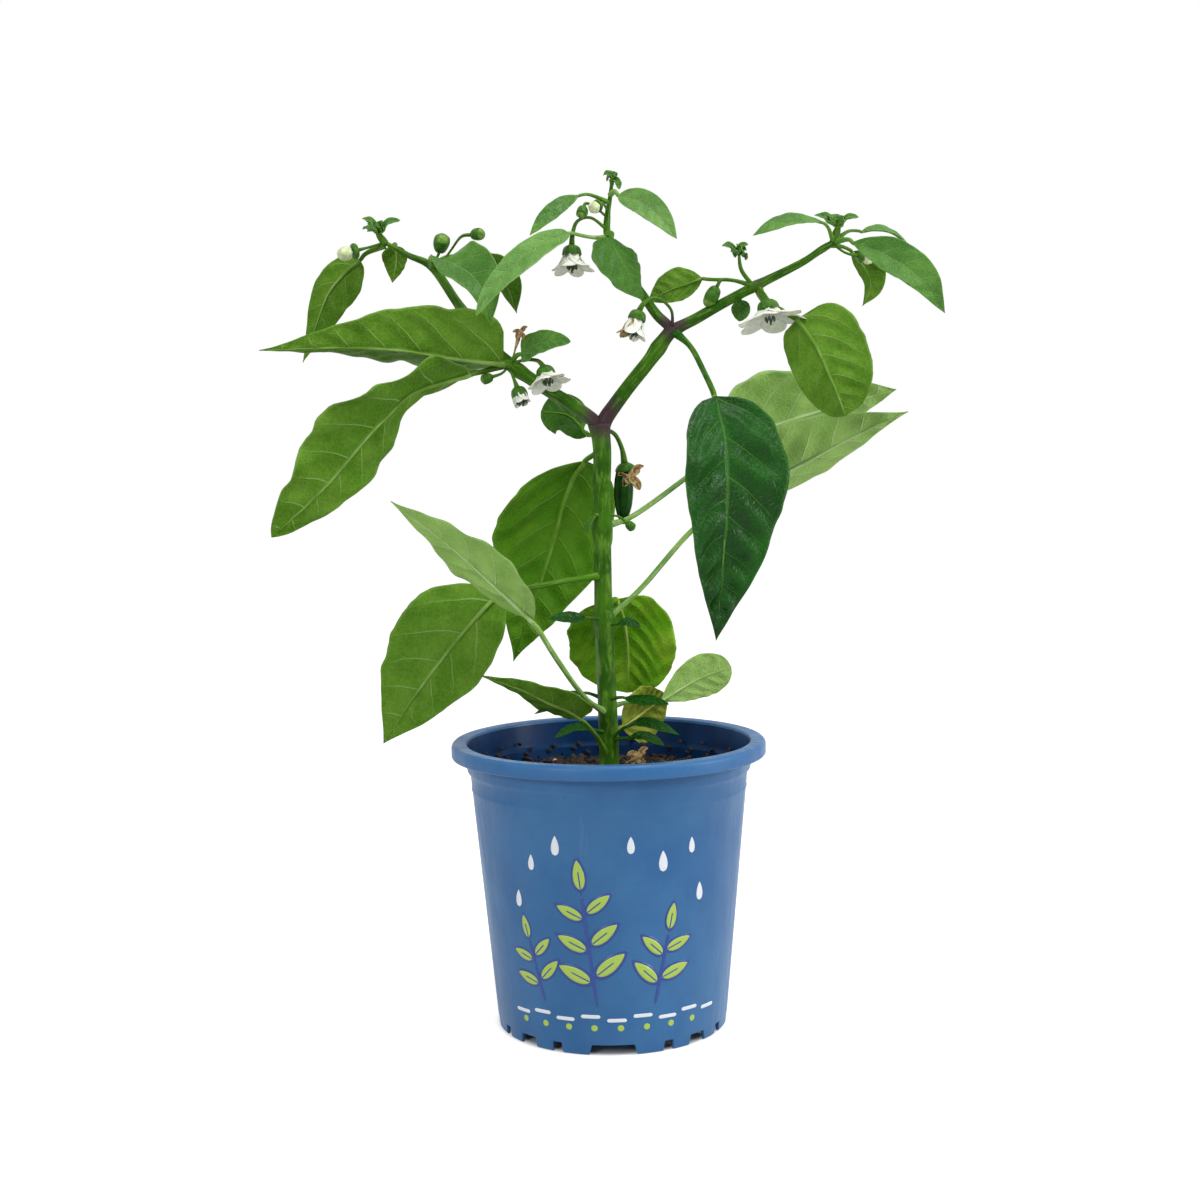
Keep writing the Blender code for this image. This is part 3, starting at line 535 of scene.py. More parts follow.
@dataclass(frozen=True)
class FleshFinish:
    """Smooth plant flesh, such as petals, bud skin, anthers and the waxed skin of a pod."""
    name: str
    light: str
    shade: str
    roughness: float
    grain_mm: float
    relief_mm: float = 0.1
    through: float = 0.0
    gloss: float = 0.4

    def material(self) -> bpy.types.Material:
        """Build the material, mottled at its own grain size."""
        made, tree, shader = new_material(self.name)
        place = add_node(tree, "ShaderNodeTexCoord").outputs["Object"]
        mottle = add_node(tree, "ShaderNodeTexNoise", {}, {"Vector": place, "Scale": 1000 / self.grain_mm,
                                                           "Detail": 5.0, "Roughness": 0.6}).outputs[0]
        fine = add_node(tree, "ShaderNodeTexNoise", {}, {"Vector": place, "Scale": 4000 / self.grain_mm,
                                                         "Detail": 3.0}).outputs[0]
        tree.links.new(mix_sockets(tree, ramp_socket(tree, mottle, 0.34, 0.66), linear(self.shade), linear(self.light)),
                       shader.inputs["Base Color"])
        tree.links.new(ramp_socket(tree, fine, 0.3, 0.7, self.roughness - 0.05, self.roughness + 0.08),
                       shader.inputs["Roughness"])
        bump = add_node(tree, "ShaderNodeBump", {}, {"Strength": 0.5, "Distance": self.relief_mm * MM,
                                                     "Height": math_socket(tree, "ADD", mottle, fine)})
        tree.links.new(bump.outputs[0], shader.inputs["Normal"])
        shader.inputs["Subsurface Weight"].default_value = self.through
        shader.inputs["Subsurface Radius"].default_value = (1.0, 1.0, 0.7)
        shader.inputs["Subsurface Scale"].default_value = 0.001
        shader.inputs["Specular IOR Level"].default_value = self.gloss
        return made


@dataclass(frozen=True)
class PotFinish:
    """Injection-moulded recycled polypropylene: satin, faintly mottled, dusty with dried water marks."""
    name: str = "moulded_polypropylene_blue"
    blue: str = "#386d9e"
    shade: str = "#2c6195"
    scuff: str = "#6f8dad"
    gloss: float = 0.3

    def material(self) -> bpy.types.Material:
        """Build the pot's blue plastic with flow marks, water marks and a fine moulded grain."""
        made, tree, shader = new_material(self.name)
        place = add_node(tree, "ShaderNodeTexCoord").outputs["Object"]
        cloud = add_node(tree, "ShaderNodeTexNoise", {}, {"Vector": place, "Scale": 22.0, "Detail": 6.0,
                                                          "Roughness": 0.62}).outputs[0]
        drip = add_node(tree, "ShaderNodeMapping", {}, {"Vector": place, "Scale": (150.0, 150.0, 18.0)})
        marks = add_node(tree, "ShaderNodeTexNoise", {}, {"Vector": drip.outputs[0], "Scale": 1.0,
                                                          "Detail": 5.0, "Roughness": 0.7}).outputs[0]
        # The moulded grain is about 0.4 mm, drawn at 0.9 mm so that it shows.
        grain = add_node(tree, "ShaderNodeTexNoise", {}, {"Vector": place, "Scale": 1100.0,
                                                          "Detail": 2.0}).outputs[0]
        dust = add_node(tree, "ShaderNodeTexVoronoi", {}, {"Vector": place, "Scale": 260.0}).outputs["Distance"]
        colour = mix_sockets(tree, ramp_socket(tree, cloud, 0.35, 0.68), linear(self.shade), linear(self.blue))
        colour = mix_sockets(tree, ramp_socket(tree, marks, 0.6, 0.78, 0.0, 0.22), colour, linear(self.scuff))
        specks = math_socket(tree, "MULTIPLY", ramp_socket(tree, dust, 0.05, 0.1, 1.0, 0.0),
                             ramp_socket(tree, cloud, 0.55, 0.62))
        colour = mix_sockets(tree, math_socket(tree, "MULTIPLY", specks, 0.5), colour, linear("#3b3f44"))
        tree.links.new(colour, shader.inputs["Base Color"])
        tree.links.new(ramp_socket(tree, marks, 0.3, 0.75, 0.36, 0.54), shader.inputs["Roughness"])
        height = math_socket(tree, "ADD", math_socket(tree, "MULTIPLY", grain, 0.5),
                             math_socket(tree, "MULTIPLY", cloud, 0.8))
        bump = add_node(tree, "ShaderNodeBump", {}, {"Strength": 0.35, "Distance": 0.0003, "Height": height})
        tree.links.new(bump.outputs[0], shader.inputs["Normal"])
        shader.inputs["IOR"].default_value = 1.49
        shader.inputs["Specular IOR Level"].default_value = self.gloss
        return made


@dataclass(frozen=True)
class SoilFinish:
    """Moist peat and bark: dark, crumbly and matt, with damp patches that catch the light."""
    name: str
    dark: str
    light: str
    roughness: float = 0.9

    def material(self) -> bpy.types.Material:
        """Build the crumbly material."""
        made, tree, shader = new_material(self.name)
        place = add_node(tree, "ShaderNodeTexCoord").outputs["Object"]
        crumbs = add_node(tree, "ShaderNodeTexNoise", {}, {"Vector": place, "Scale": 420.0, "Detail": 8.0,
                                                           "Roughness": 0.72}).outputs[0]
        grains = add_node(tree, "ShaderNodeTexVoronoi", {}, {"Vector": place, "Scale": 650.0}).outputs["Distance"]
        colour = mix_sockets(tree, ramp_socket(tree, crumbs, 0.4, 0.72), linear(self.dark), linear(self.light))
        tree.links.new(colour, shader.inputs["Base Color"])
        tree.links.new(ramp_socket(tree, crumbs, 0.3, 0.7, self.roughness - 0.25, self.roughness),
                       shader.inputs["Roughness"])
        height = math_socket(tree, "ADD", crumbs, math_socket(tree, "MULTIPLY", grains, 0.7))
        bump = add_node(tree, "ShaderNodeBump", {}, {"Strength": 0.9, "Distance": 0.0012, "Height": height})
        tree.links.new(bump.outputs[0], shader.inputs["Normal"])
        return made


@dataclass(frozen=True)
class InkFinish:
    """Pad-printed ink on plastic: flat, opaque and a little glossier than the wall."""
    name: str
    colour: str

    def material(self) -> bpy.types.Material:
        """Build the ink, with the fine pinholes of a pad print."""
        made, tree, shader = new_material(self.name)
        place = add_node(tree, "ShaderNodeTexCoord").outputs["Object"]
        pinholes = add_node(tree, "ShaderNodeTexNoise", {}, {"Vector": place, "Scale": 700.0,
                                                             "Detail": 4.0}).outputs[0]
        rub = ramp_socket(tree, pinholes, 0.66, 0.76, 0.0, 0.35)
        tree.links.new(mix_sockets(tree, rub, linear(self.colour), linear("#5077a8")), shader.inputs["Base Color"])
        tree.links.new(ramp_socket(tree, pinholes, 0.3, 0.7, 0.3, 0.42), shader.inputs["Roughness"])
        return made


# ---------------------------------------------------------------------------------------------
# Leaves
# ---------------------------------------------------------------------------------------------

@dataclass(frozen=True)
class Leaf:
    """A leaf: its stalk from inside the stem, then the midrib of its blade.

    width is the blade's full width, belly is where along the blade it is widest, point is how
    sharply it narrows to the tip, fold is how far each half rises from flat in degrees, skew
    makes one half wider, and faces are the directions that its upper side looks in, from base to
    tip. waist is a narrow place: where, how deep and how long. wave is how far the margin rises
    and falls.
    """
    node: str
    stalk: tuple[Point, ...]
    blade: tuple[Point, ...]
    width: float
    belly: float
    point: float
    fold: float
    skew: float
    faces: tuple[Point, ...]
    waist: tuple[float, ...] = ()
    tone: LeafTone = LeafTone.MATURE
    wave: float = 1.0
    pucker: float = 1.0
    modelled: bool = True

    along: int = 60
    across: int = 32
    thickness: float = 0.34

    def half_width(self, t: float) -> float:
        """Return half the blade's width at t, from 0 at its base to 1 at its tip."""
        t = min(max(t, 0.0), 1.0)
        rise = self.point * self.belly / (1 - self.belly)
        peak = self.belly ** rise * (1 - self.belly) ** self.point
        width = self.width / 2 * t ** rise * (1 - t) ** self.point / peak
        if self.waist:
            place, depth, spread = self.waist
            width *= 1 - depth * exp(-((t - place) / spread) ** 2)
        return width

    def face_at(self, t: float) -> Vector:
        """Return the direction that the upper side looks in at t."""
        if len(self.faces) == 1:
            return Vector(self.faces[0])
        place = min(max(t, 0.0), 1.0) * (len(self.faces) - 1)
        low = min(int(place), len(self.faces) - 2)
        return Vector(self.faces[low]).lerp(Vector(self.faces[low + 1]), place - low)

    def stations(self) -> list[Station]:
        """Return the blade's stations, with up towards its upper side."""
        route = evenly(smooth_route(self.blade), self.along + 1)
        found = []
        for i, (centre, way) in enumerate(zip(route, tangents(route))):
            face = self.face_at(i / self.along)
            up = (face - face.dot(way) * way).normalized()
            found.append(Station(centre, way, way.cross(up), up))
        return found

    def vein_count(self, length: float) -> float:
        """Return how many veins leave the midrib on one side: one in 17 mm, and four or five at least."""
        return max(length / 17.0, 4.5)

    def chart(self, length: float) -> Callable[[float, float], tuple[float, float]]:
        """Return the growth map: whole numbers lie between two veins, and v is across the blade."""
        count = self.vein_count(length)

        def place(u: float, v: float) -> tuple[float, float]:
            """Return how many veins lie before this spot, and the side from -1 to 1."""
            s = 2 * v - 1
            out = abs(s) * self.half_width(u) / length
            slanted = u - 0.7 * out - 2.0 * out * out + 0.016 * grit(Vector((u * 6.0, s * 2.0, length)), 1.0)
            return (slanted + 0.3) * count * (0.86 + 0.25 * u) + (0.47 if s > 0 else 0.0), s

        return place

    def build_blade(self) -> bpy.types.Object:
        """Shape the blade: folded at its midrib, puckered between veins and waved at its margin."""
        stations = self.stations()
        length = route_length([s.centre for s in stations])
        chart = self.chart(length)
        seed = sum(ord(letter) for letter in self.node) * 0.37
        pucker = self.pucker * (0.014 * self.width + 0.05)
        blank = flat_blank(f"{self.node}_blade", self.along, self.across)

        def place(u: float, v: float) -> Vector:
            """Return the blade's point at u along and v across."""
            at = between(stations, u)
            beat, s = chart(u, v)
            half = self.half_width(u) * (1 + self.skew * (1 if s > 0 else -1))
            half *= 1 + self.wave * (0.04 * grit(Vector((u * 9.0, s * 1.5, seed)), 1.0)
                                    + 0.02 * grit(Vector((u * 23.0, s * 1.5, seed)), 1.0))
            rounded = sqrt(s * s + 0.006) - sqrt(0.006)
            lift = sin(radians(self.fold)) * half * rounded
            arch = 0.09 * half * (s * s - 0.35 * s ** 4)
            quilt = 0.7 * grit(Vector((u * length / 7.0, s * half / 6.0, seed)), 1.0)
            bulge = cos(2 * pi * beat) * sin(pi * min(abs(s) * 1.15, 1.0)) + quilt
            bulge *= pucker * min(1.0, 9 * u, 7 * (1 - u))
            swing = sin(2 * pi * (u * 2.6 + seed + (0.35 if s > 0 else 0.0))) + 0.6 * sin(
                2 * pi * (u * 5.7 + seed * 2 + s))
            margin = self.wave * 0.045 * half * swing * abs(s) ** 3
            across = at.side * cos(radians(self.fold)) * half * s
            return at.centre + across + at.up * (lift - arch + bulge + margin)

        shape_blank(blank, place, chart)
        middle = blank.data.polygons[len(blank.data.polygons) // 2 + self.across // 4]
        if middle.normal.dot(stations[self.along // 2].up) < 0:
            select_only(blank)
            bpy.ops.object.mode_set(mode="EDIT")
            bpy.ops.mesh.select_all(action="SELECT")
            bpy.ops.mesh.flip_normals()
            bpy.ops.object.mode_set(mode="OBJECT")
        return blank

    def build_rib(self, wardrobe: Wardrobe) -> bpy.types.Object:
        """Roll the stalk, which runs on under the blade as a thinning, paler midrib."""
        thick = min(1.15, 0.5 + self.width / 50)
        blade = [s.centre - s.up * 0.8 * thick * (1 - 0.8 * k / self.along) for k, s in enumerate(self.stations())]
        stalk = evenly(smooth_route((*self.stalk, self.blade[0])), 14)[:-1]
        stalk_length = route_length([*stalk, blade[0]])
        length = stalk_length + route_length(blade)
        joined = evenly([*stalk, *blade[:-2]], 60)
        share = stalk_length / length

        def radius_at(u: float, angle: float) -> float:
            """Thin the stalk out from its swollen foot to the blade's tip, with a groove on top."""
            reach = max(0.0, (u - share) / (1 - share))
            foot = 0.7 * exp(-((u * length) / 5.5) ** 2)
            groove = 1 - 0.12 * max(0.0, sin(angle)) ** 4
            return thick * (1 + foot) * (1 - 0.82 * reach ** 0.55) * groove

        rib = rolled_blank(f"{self.node}_rib", joined, radius_at, 60, 10, self.face_at(0.0))
        for material in wardrobe.ribs(self.tone):
            rib.data.materials.append(material)
        growth = rib.data.uv_layers[GROWTH_MAP].data
        for face in rib.data.polygons:
            face.material_index = 1 if growth[face.loop_start].uv.x > stalk_length else 0
        return rib

    def build(self, wardrobe: Wardrobe) -> None:
        """Build the leaf, dress it and hand it over.

        Args:
            wardrobe: the plant's materials.
        """
        blade = self.build_blade()
        for material in wardrobe.leaf_sides(self.tone):
            blade.data.materials.append(material)
        apply_modifier(blade, "SOLIDIFY", thickness=self.thickness * MM, offset=0.0, material_offset=1,
                       material_offset_rim=0)
        blade.data.shade_smooth()
        hand_over(join(f"{self.node}_grown", [blade, self.build_rib(wardrobe)]), "leaf", *([self.node] if self.modelled else []))


# ---------------------------------------------------------------------------------------------
# Stems
# ---------------------------------------------------------------------------------------------

@dataclass(frozen=True)
class Stem:
    """A ribbed stem: the points it passes, its radius at each, and where it swells at a joint."""
    node: str
    route: tuple[Point, ...]
    radii: tuple[float, ...]
    joints: tuple[float, ...] = ()
    ribs: int = 5
    rib_depth: float = 0.075

    def build(self, wardrobe: Wardrobe) -> None:
        """Roll the stem, swell its joints, dress it and hand it over."""
        curve = smooth_route(self.route)
        length = route_length(curve)
        count = max(40, int(length / 1.1))
        route = evenly(curve, count)
        legs = [0.0]
        for a, b in zip(self.route, self.route[1:]):
            legs.append(legs[-1] + (Vector(b) - Vector(a)).length)

        def radius_at(u: float, angle: float) -> float:
            """Return the stem's radius, with ribs, joints and slight unevenness."""
            reach = u * legs[-1]
            span = max(i for i in range(len(legs) - 1) if legs[i] <= reach + 1e-9)
            part = (reach - legs[span]) / (legs[span + 1] - legs[span])
            radius = self.radii[span] + (self.radii[span + 1] - self.radii[span]) * min(part, 1.0)
            swell = sum(0.2 * exp(-((reach - joint) / 3.2) ** 2) for joint in self.joints)
            rib = self.rib_depth * (1 - 2 * abs(sin(0.5 * self.ribs * angle + reach * 0.012)) ** 0.8)
            uneven = 0.012 * grit(Vector((reach * 0.2, cos(angle), sin(angle) + self.radii[0])), 1.0)
            return radius * (1 + swell + rib + uneven)

        made = rolled_blank(f"{self.node}_grown", route, radius_at, count, 32)
        made.data.materials.append(wardrobe.stem)
        hand_over(made, "stem", self.node)


# ---------------------------------------------------------------------------------------------
# Buds, flowers, fruit and shoots
# ---------------------------------------------------------------------------------------------

def cross_directions(axis: Vector) -> tuple[Vector, Vector]:
    """Return two unit directions across an axis."""
    start = Vector((0, 1, 0)) if abs(axis.y) < 0.8 else Vector((1, 0, 0))
    side = axis.cross(start).normalized()
    return side, side.cross(axis).normalized()


def turned_along(name: str, start: Vector, axis: Vector, profile: Sequence[tuple[float, float]], around: int = 20,
                 lobes: int = 0, lobe_depth: float = 0.0) -> bpy.types.Object:
    """Turn a profile about an axis.

    Args:
        name: the new object's name.
        start: the foot of the axis, in millimetres.
        axis: the axis's direction.
        profile: pairs of reach along the axis and radius.
        around: faces round the shape.
        lobes: how many ridges it has.
        lobe_depth: how deep the valleys between the ridges are, as a share of the radius.

    Returns:
        The closed shape.
    """
    way = axis.normalized()
    side, other = cross_directions(way)
    curve = evenly(smooth_route([(along, radius, 0) for along, radius in profile], 6), 4 * len(profile) + 1)
    blank = flat_blank(name, len(curve) - 1, around)

    def place(u: float, v: float) -> Vector:
        """Return the point at u along the profile and v round the axis."""
        at = curve[round(u * (len(curve) - 1))]
        angle = 2 * pi * v
        radius = max(at.y, 0.0) * (1 - lobe_depth * (0.5 - 0.5 * cos(lobes * angle)))
        return start + way * at.x + (side * cos(angle) + other * sin(angle)) * radius

    shape_blank(blank, place)
    close_blank(blank)
    return blank


def shaped_petal(name: str, route: Sequence[Point], width: float, belly: float, point: float, face: Vector,
                 curl: float, seed: float, thickness: float = 0.22, crumple: float = 0.14) -> bpy.types.Object:
    """Shape a small blade such as a petal or a leaflet, with its own thickness.

    Args:
        name: the new object's name.
        route: the points along its middle, in millimetres.
        width: its full width.
        belly: where along it is widest.
        point: how sharply it narrows to its tip.
        face: the direction that its inner side looks in.
        curl: how far its edges rise, as a share of half its width.
        seed: varies its crumple.
        thickness: its thickness in millimetres.
        crumple: how far its skin rises and falls, as a share of half its width.

    Returns:
        The petal.
    """
    leaf = Leaf(name, (), tuple(tuple(p) for p in route), width, belly, point, 0.0, 0.0, (tuple(face),), along=18)
    stations = leaf.stations()
    blank = flat_blank(name, 18, 10)

    def place(u: float, v: float) -> Vector:
        """Return the petal's point at u along and v across."""
        at = between(stations, u)
        s = 2 * v - 1
        half = max(leaf.half_width(0.06 + 0.94 * u), 0.05)
        rise = crumple * half * grit(Vector((u * 3.0, s, seed)), 0.8)
        return at.centre + at.side * half * s + at.up * (curl * half * s * s + rise)

    shape_blank(blank, place, lambda u, v: (u * 3 + 0.5, 2 * v - 1))
    apply_modifier(blank, "SOLIDIFY", thickness=thickness * MM, offset=0.0)
    blank.data.shade_smooth()
    return blank


def thread(name: str, route: Sequence[Sequence[float]], radii: Sequence[float], around: int = 8) -> bpy.types.Object:
    """Roll a thin thread whose radius goes evenly through some values.

    Args:
        name: the new object's name.
        route: control points in millimetres.
        radii: radius values from its start to its end.
        around: faces round the thread.

    Returns:
        The thread, closed at both ends.
    """
    curve = evenly(smooth_route(route), 22)

    def radius_at(u: float, _angle: float) -> float:
        """Return the radius at u along the thread."""
        place = u * (len(radii) - 1)
        low = min(int(place), len(radii) - 2)
        return radii[low] + (radii[low + 1] - radii[low]) * (place - low)

    return rolled_blank(name, curve, radius_at, 22, around)


@dataclass(frozen=True)
class Bud:
    """A flower bud: its stalk's route, then its length, radius and how much white shows."""
    node: str
    stalk: tuple[Point, ...]
    length: float
    radius: float
    open_share: float = 0.35
    modelled: bool = True

    def build(self, wardrobe: Wardrobe) -> None:
        """Build the stalk, the ribbed green cup and the pale bud in it."""
        route = evenly(smooth_route(self.stalk), 8)
        axis = tangents(route)[-1]
        foot = route[-1]
        stalk = thread(f"{self.node}_stalk", self.stalk, (0.55, 0.5, 0.55, 0.8))
        stalk.data.materials.append(wardrobe.stalk)
        cup_end = self.length * (1 - self.open_share)
        r = self.radius
        cup = turned_along(f"{self.node}_cup", foot - axis * 0.3, axis,
                           ((0, 0), (0.2, 0.45 * r), (0.22 * cup_end, 0.82 * r), (0.6 * cup_end, 1.0 * r),
                            (0.92 * cup_end, 0.95 * r), (cup_end, 0.82 * r), (cup_end - 0.1, 0.5 * r), (cup_end - 0.4, 0)),
                           around=25, lobes=5, lobe_depth=0.07)
        cup.data.materials.append(wardrobe.cup)
        start = 0.3 * self.length
        bloom = turned_along(f"{self.node}_bloom", foot, axis,
                             ((start, 0), (start + 0.1, 0.6 * r), (0.6 * self.length, 0.93 * r),
                              (0.82 * self.length, 0.78 * r), (0.95 * self.length, 0.42 * r), (self.length, 0)),
                             around=30, lobes=5, lobe_depth=0.09)
        bloom.data.materials.append(wardrobe.bud_skin if self.open_share > 0.3 else wardrobe.tight_bud)
        hand_over(join(f"{self.node}_grown", [stalk, cup, bloom]), "bud", *([self.node] if self.modelled else []))


@dataclass(frozen=True)
class Flower:
    """A flower: its stalk's route, the way it opens, its reach, its depth, its petal count and how much of it is
    browned.
    """
    node: str
    stalk: tuple[Point, ...]
    axis: Point
    reach: float
    depth: float
    petals: int = 6
    browned: float = 0.0

    def build(self, wardrobe: Wardrobe) -> None:
        """Build the stalk, cup, petals, stamens and style, and join them."""
        axis = Vector(self.axis).normalized()
        foot = evenly(smooth_route(self.stalk), 8)[-1]
        wide = 3.0 + 0.1 * self.reach
        side, other = cross_directions(axis)
        stalk = thread(f"{self.node}_stalk", self.stalk, (0.75, 0.6, 0.65, 0.8, 1.2))
        stalk.data.materials.append(wardrobe.stalk)
        cup = turned_along(f"{self.node}_cup", foot - axis * 0.4, axis,
                           ((0, 0), (0.1, 1.2), (0.9, 0.75 * wide), (2.4, 0.95 * wide), (4.2, wide), (4.3, 0.9 * wide),
                            (3.2, 0.6 * wide), (2.8, 0)),
                           around=30, lobes=self.petals, lobe_depth=0.1)
        cup.data.materials.append(wardrobe.cup)
        parts = [stalk, cup]
        for k in range(self.petals):
            turn = 2 * pi * (k + 0.27) / self.petals
            out = side * cos(turn) + other * sin(turn)
            spread = self.reach * (1 + 0.09 * sin(5.1 * k + self.reach))
            route = (foot + axis * 0.8 + out * 1.2, foot + axis * (0.42 * self.depth) + out * 2.3,
                     foot + axis * (0.78 * self.depth) + out * (0.5 * spread + 1.0),
                     foot + axis * (self.depth * (1.0 + 0.06 * sin(7.0 * k))) + out * spread)
            width = 0.5 * self.reach + 3.2
            petal = shaped_petal(f"{self.node}_petal_{k}", [tuple(p) for p in route], width, 0.55, 0.62,
                                 -out + axis * 0.5, 0.22, k + self.reach)
            brown = out.x < -1 + 2 * self.browned
            petal.data.materials.append(wardrobe.withered if brown else wardrobe.petal)
            parts.append(petal)
            stem_end = foot + axis * (0.78 * self.depth) + out * 1.7
            filament = thread(f"{self.node}_filament_{k}", (foot + axis * 1.5 + out * 0.9,
                              foot + axis * (0.5 * self.depth) + out * 1.5, stem_end), (0.22, 0.2, 0.18), 6)
            filament.data.materials.append(wardrobe.petal)
            anther = thread(f"{self.node}_anther_{k}", (stem_end - axis * 0.2, stem_end + axis * 1.0, stem_end + axis * 2.0),
                            (0.2, 0.62, 0.66, 0.5, 0.1), 8)
            anther.data.materials.append(wardrobe.anther)
            parts += [filament, anther]
        style = thread(f"{self.node}_style", (foot + axis * 1.5, foot + axis * self.depth * 0.7,
                                              foot + axis * (self.depth + 1.2)), (0.3, 0.25, 0.25, 0.45), 8)
        style.data.materials.append(wardrobe.stalk)
        parts.append(style)
        hand_over(join(f"{self.node}_grown", parts), "petal", self.node)


@dataclass(frozen=True)
class Fruit:
    """The young pod with its cap and stalk."""
    stalk: tuple[Point, ...]
    pod: tuple[Point, ...]
    pod_radii: tuple[float, ...]
    cap_radius: float
    cap_depth: float

    def build(self, wardrobe: Wardrobe) -> None:
        """Build the cap with its stalk, and the glossy pod."""
        route = evenly(smooth_route(self.stalk), 8)
        end, down = route[-1], tangents(route)[-1]
        stalk = thread("pod_stalk", self.stalk, (1.1, 0.9, 0.9, 1.0, 1.5), 12)
        stalk.data.materials.append(wardrobe.stalk)
        r, d = self.cap_radius, self.cap_depth
        cap = turned_along("pod_cap", end - down * 0.3, down,
                           ((0, 0), (0.1, 1.3), (0.45 * d, 0.75 * r), (0.9 * d, 0.98 * r), (d + 0.3, r), (d + 0.35, 0.9 * r),
                            (0.8 * d, 0.7 * r), (0.6 * d, 0)), around=30, lobes=5, lobe_depth=0.08)
        cap.data.materials.append(wardrobe.cup)
        hand_over(join("fruit_cap_grown", [stalk, cap]), "pod", "fruit_cap")
        pod = thread("fruit_pod_grown", self.pod, self.pod_radii, 56)
        pod.data.materials.append(wardrobe.pod)
        hand_over(pod, "pod", "fruit_pod")


@dataclass(frozen=True)
class Withered:
    """A dried flower: where its stalk starts, its middle and its size beside a full one."""
    name: str
    foot: Point
    middle: Point
    size: float = 1.0

    def build(self, wardrobe: Wardrobe) -> None:
        """Build the crumpled petals and the dry stalk that holds them."""
        middle = Vector(self.middle)
        parts = [thread(f"{self.name}_stalk", (self.foot, self.middle, tuple(middle + Vector((0.8, 0, 0.4)))),
                        (0.35, 0.4, 0.9, 0.4), 8)]
        for k, (x, z, bend) in enumerate(((5.5, 4.6, 1.5), (3.6, -5.2, -1.2), (-3.2, -4.0, 1.6), (-5.5, 0.8, 2.0))):
            tip = middle + Vector((x, bend, z)) * self.size
            half_way = middle.lerp(tip, 0.5) + Vector((0, bend, 0.8)) * self.size
            parts.append(shaped_petal(f"{self.name}_{k}", [tuple(middle), tuple(half_way), tuple(tip)],
                                      3.4 * self.size, 0.5, 0.7, Vector((0.4, -1, 0.4 * bend)), 0.9,
                                      k * 3.1 + self.size, crumple=0.5))
        for part in parts:
            part.data.materials.append(wardrobe.withered)
        hand_over(join(self.name, parts), "petal")


@dataclass(frozen=True)
class Shoot:
    """A young shoot: a short stem and crinkled leaflets round its tip."""
    node: str
    stalk: tuple[Point, ...]
    radius: float
    leaf_tips: tuple[Point, ...]
    leaf_width: float

    def build(self, wardrobe: Wardrobe) -> None:
        """Build the stem and its leaflets, with smaller ones between them."""
        base = Vector(self.stalk[-1])
        stem = thread(f"{self.node}_stem", (*self.stalk, tuple(base + Vector((0, 0, 0.8)))),
                      (self.radius, self.radius, self.radius * 0.9, self.radius * 0.6))
        stem.data.materials.append(wardrobe.stalk)
        parts = [stem]
        tips = [Vector(tip) for tip in self.leaf_tips]
        pairs = list(zip(tips, tips[1:] + tips[:1]))
        extra = [a.lerp(b, 0.5).lerp(base, 0.25) + Vector((0.6, -1.4, 1.0)) for a, b in pairs]
        extra += [a.lerp(b, 0.3).lerp(base, 0.45) + Vector((-1.2, 1.6, -0.6)) for a, b in pairs]
        for k, tip in enumerate(tips + extra):
            middle = base.lerp(tip, 0.5) + Vector((0, 0, 1.1))
            width = self.leaf_width * (1.6 if k < len(tips) else 1.15)
            leaflet = shaped_petal(f"{self.node}_leaflet_{k}", [tuple(base), tuple(middle), tuple(tip)], width, 0.5,
                                   0.8, Vector((0.1, -0.5, 0.8)), 0.6, k * 1.9, 0.26, 0.45)
            leaflet.data.materials.append(wardrobe.leaf_sides(LeafTone.YOUNG)[0])
            parts.append(leaflet)
        hand_over(join(f"{self.node}_grown", parts), "leaf", self.node)


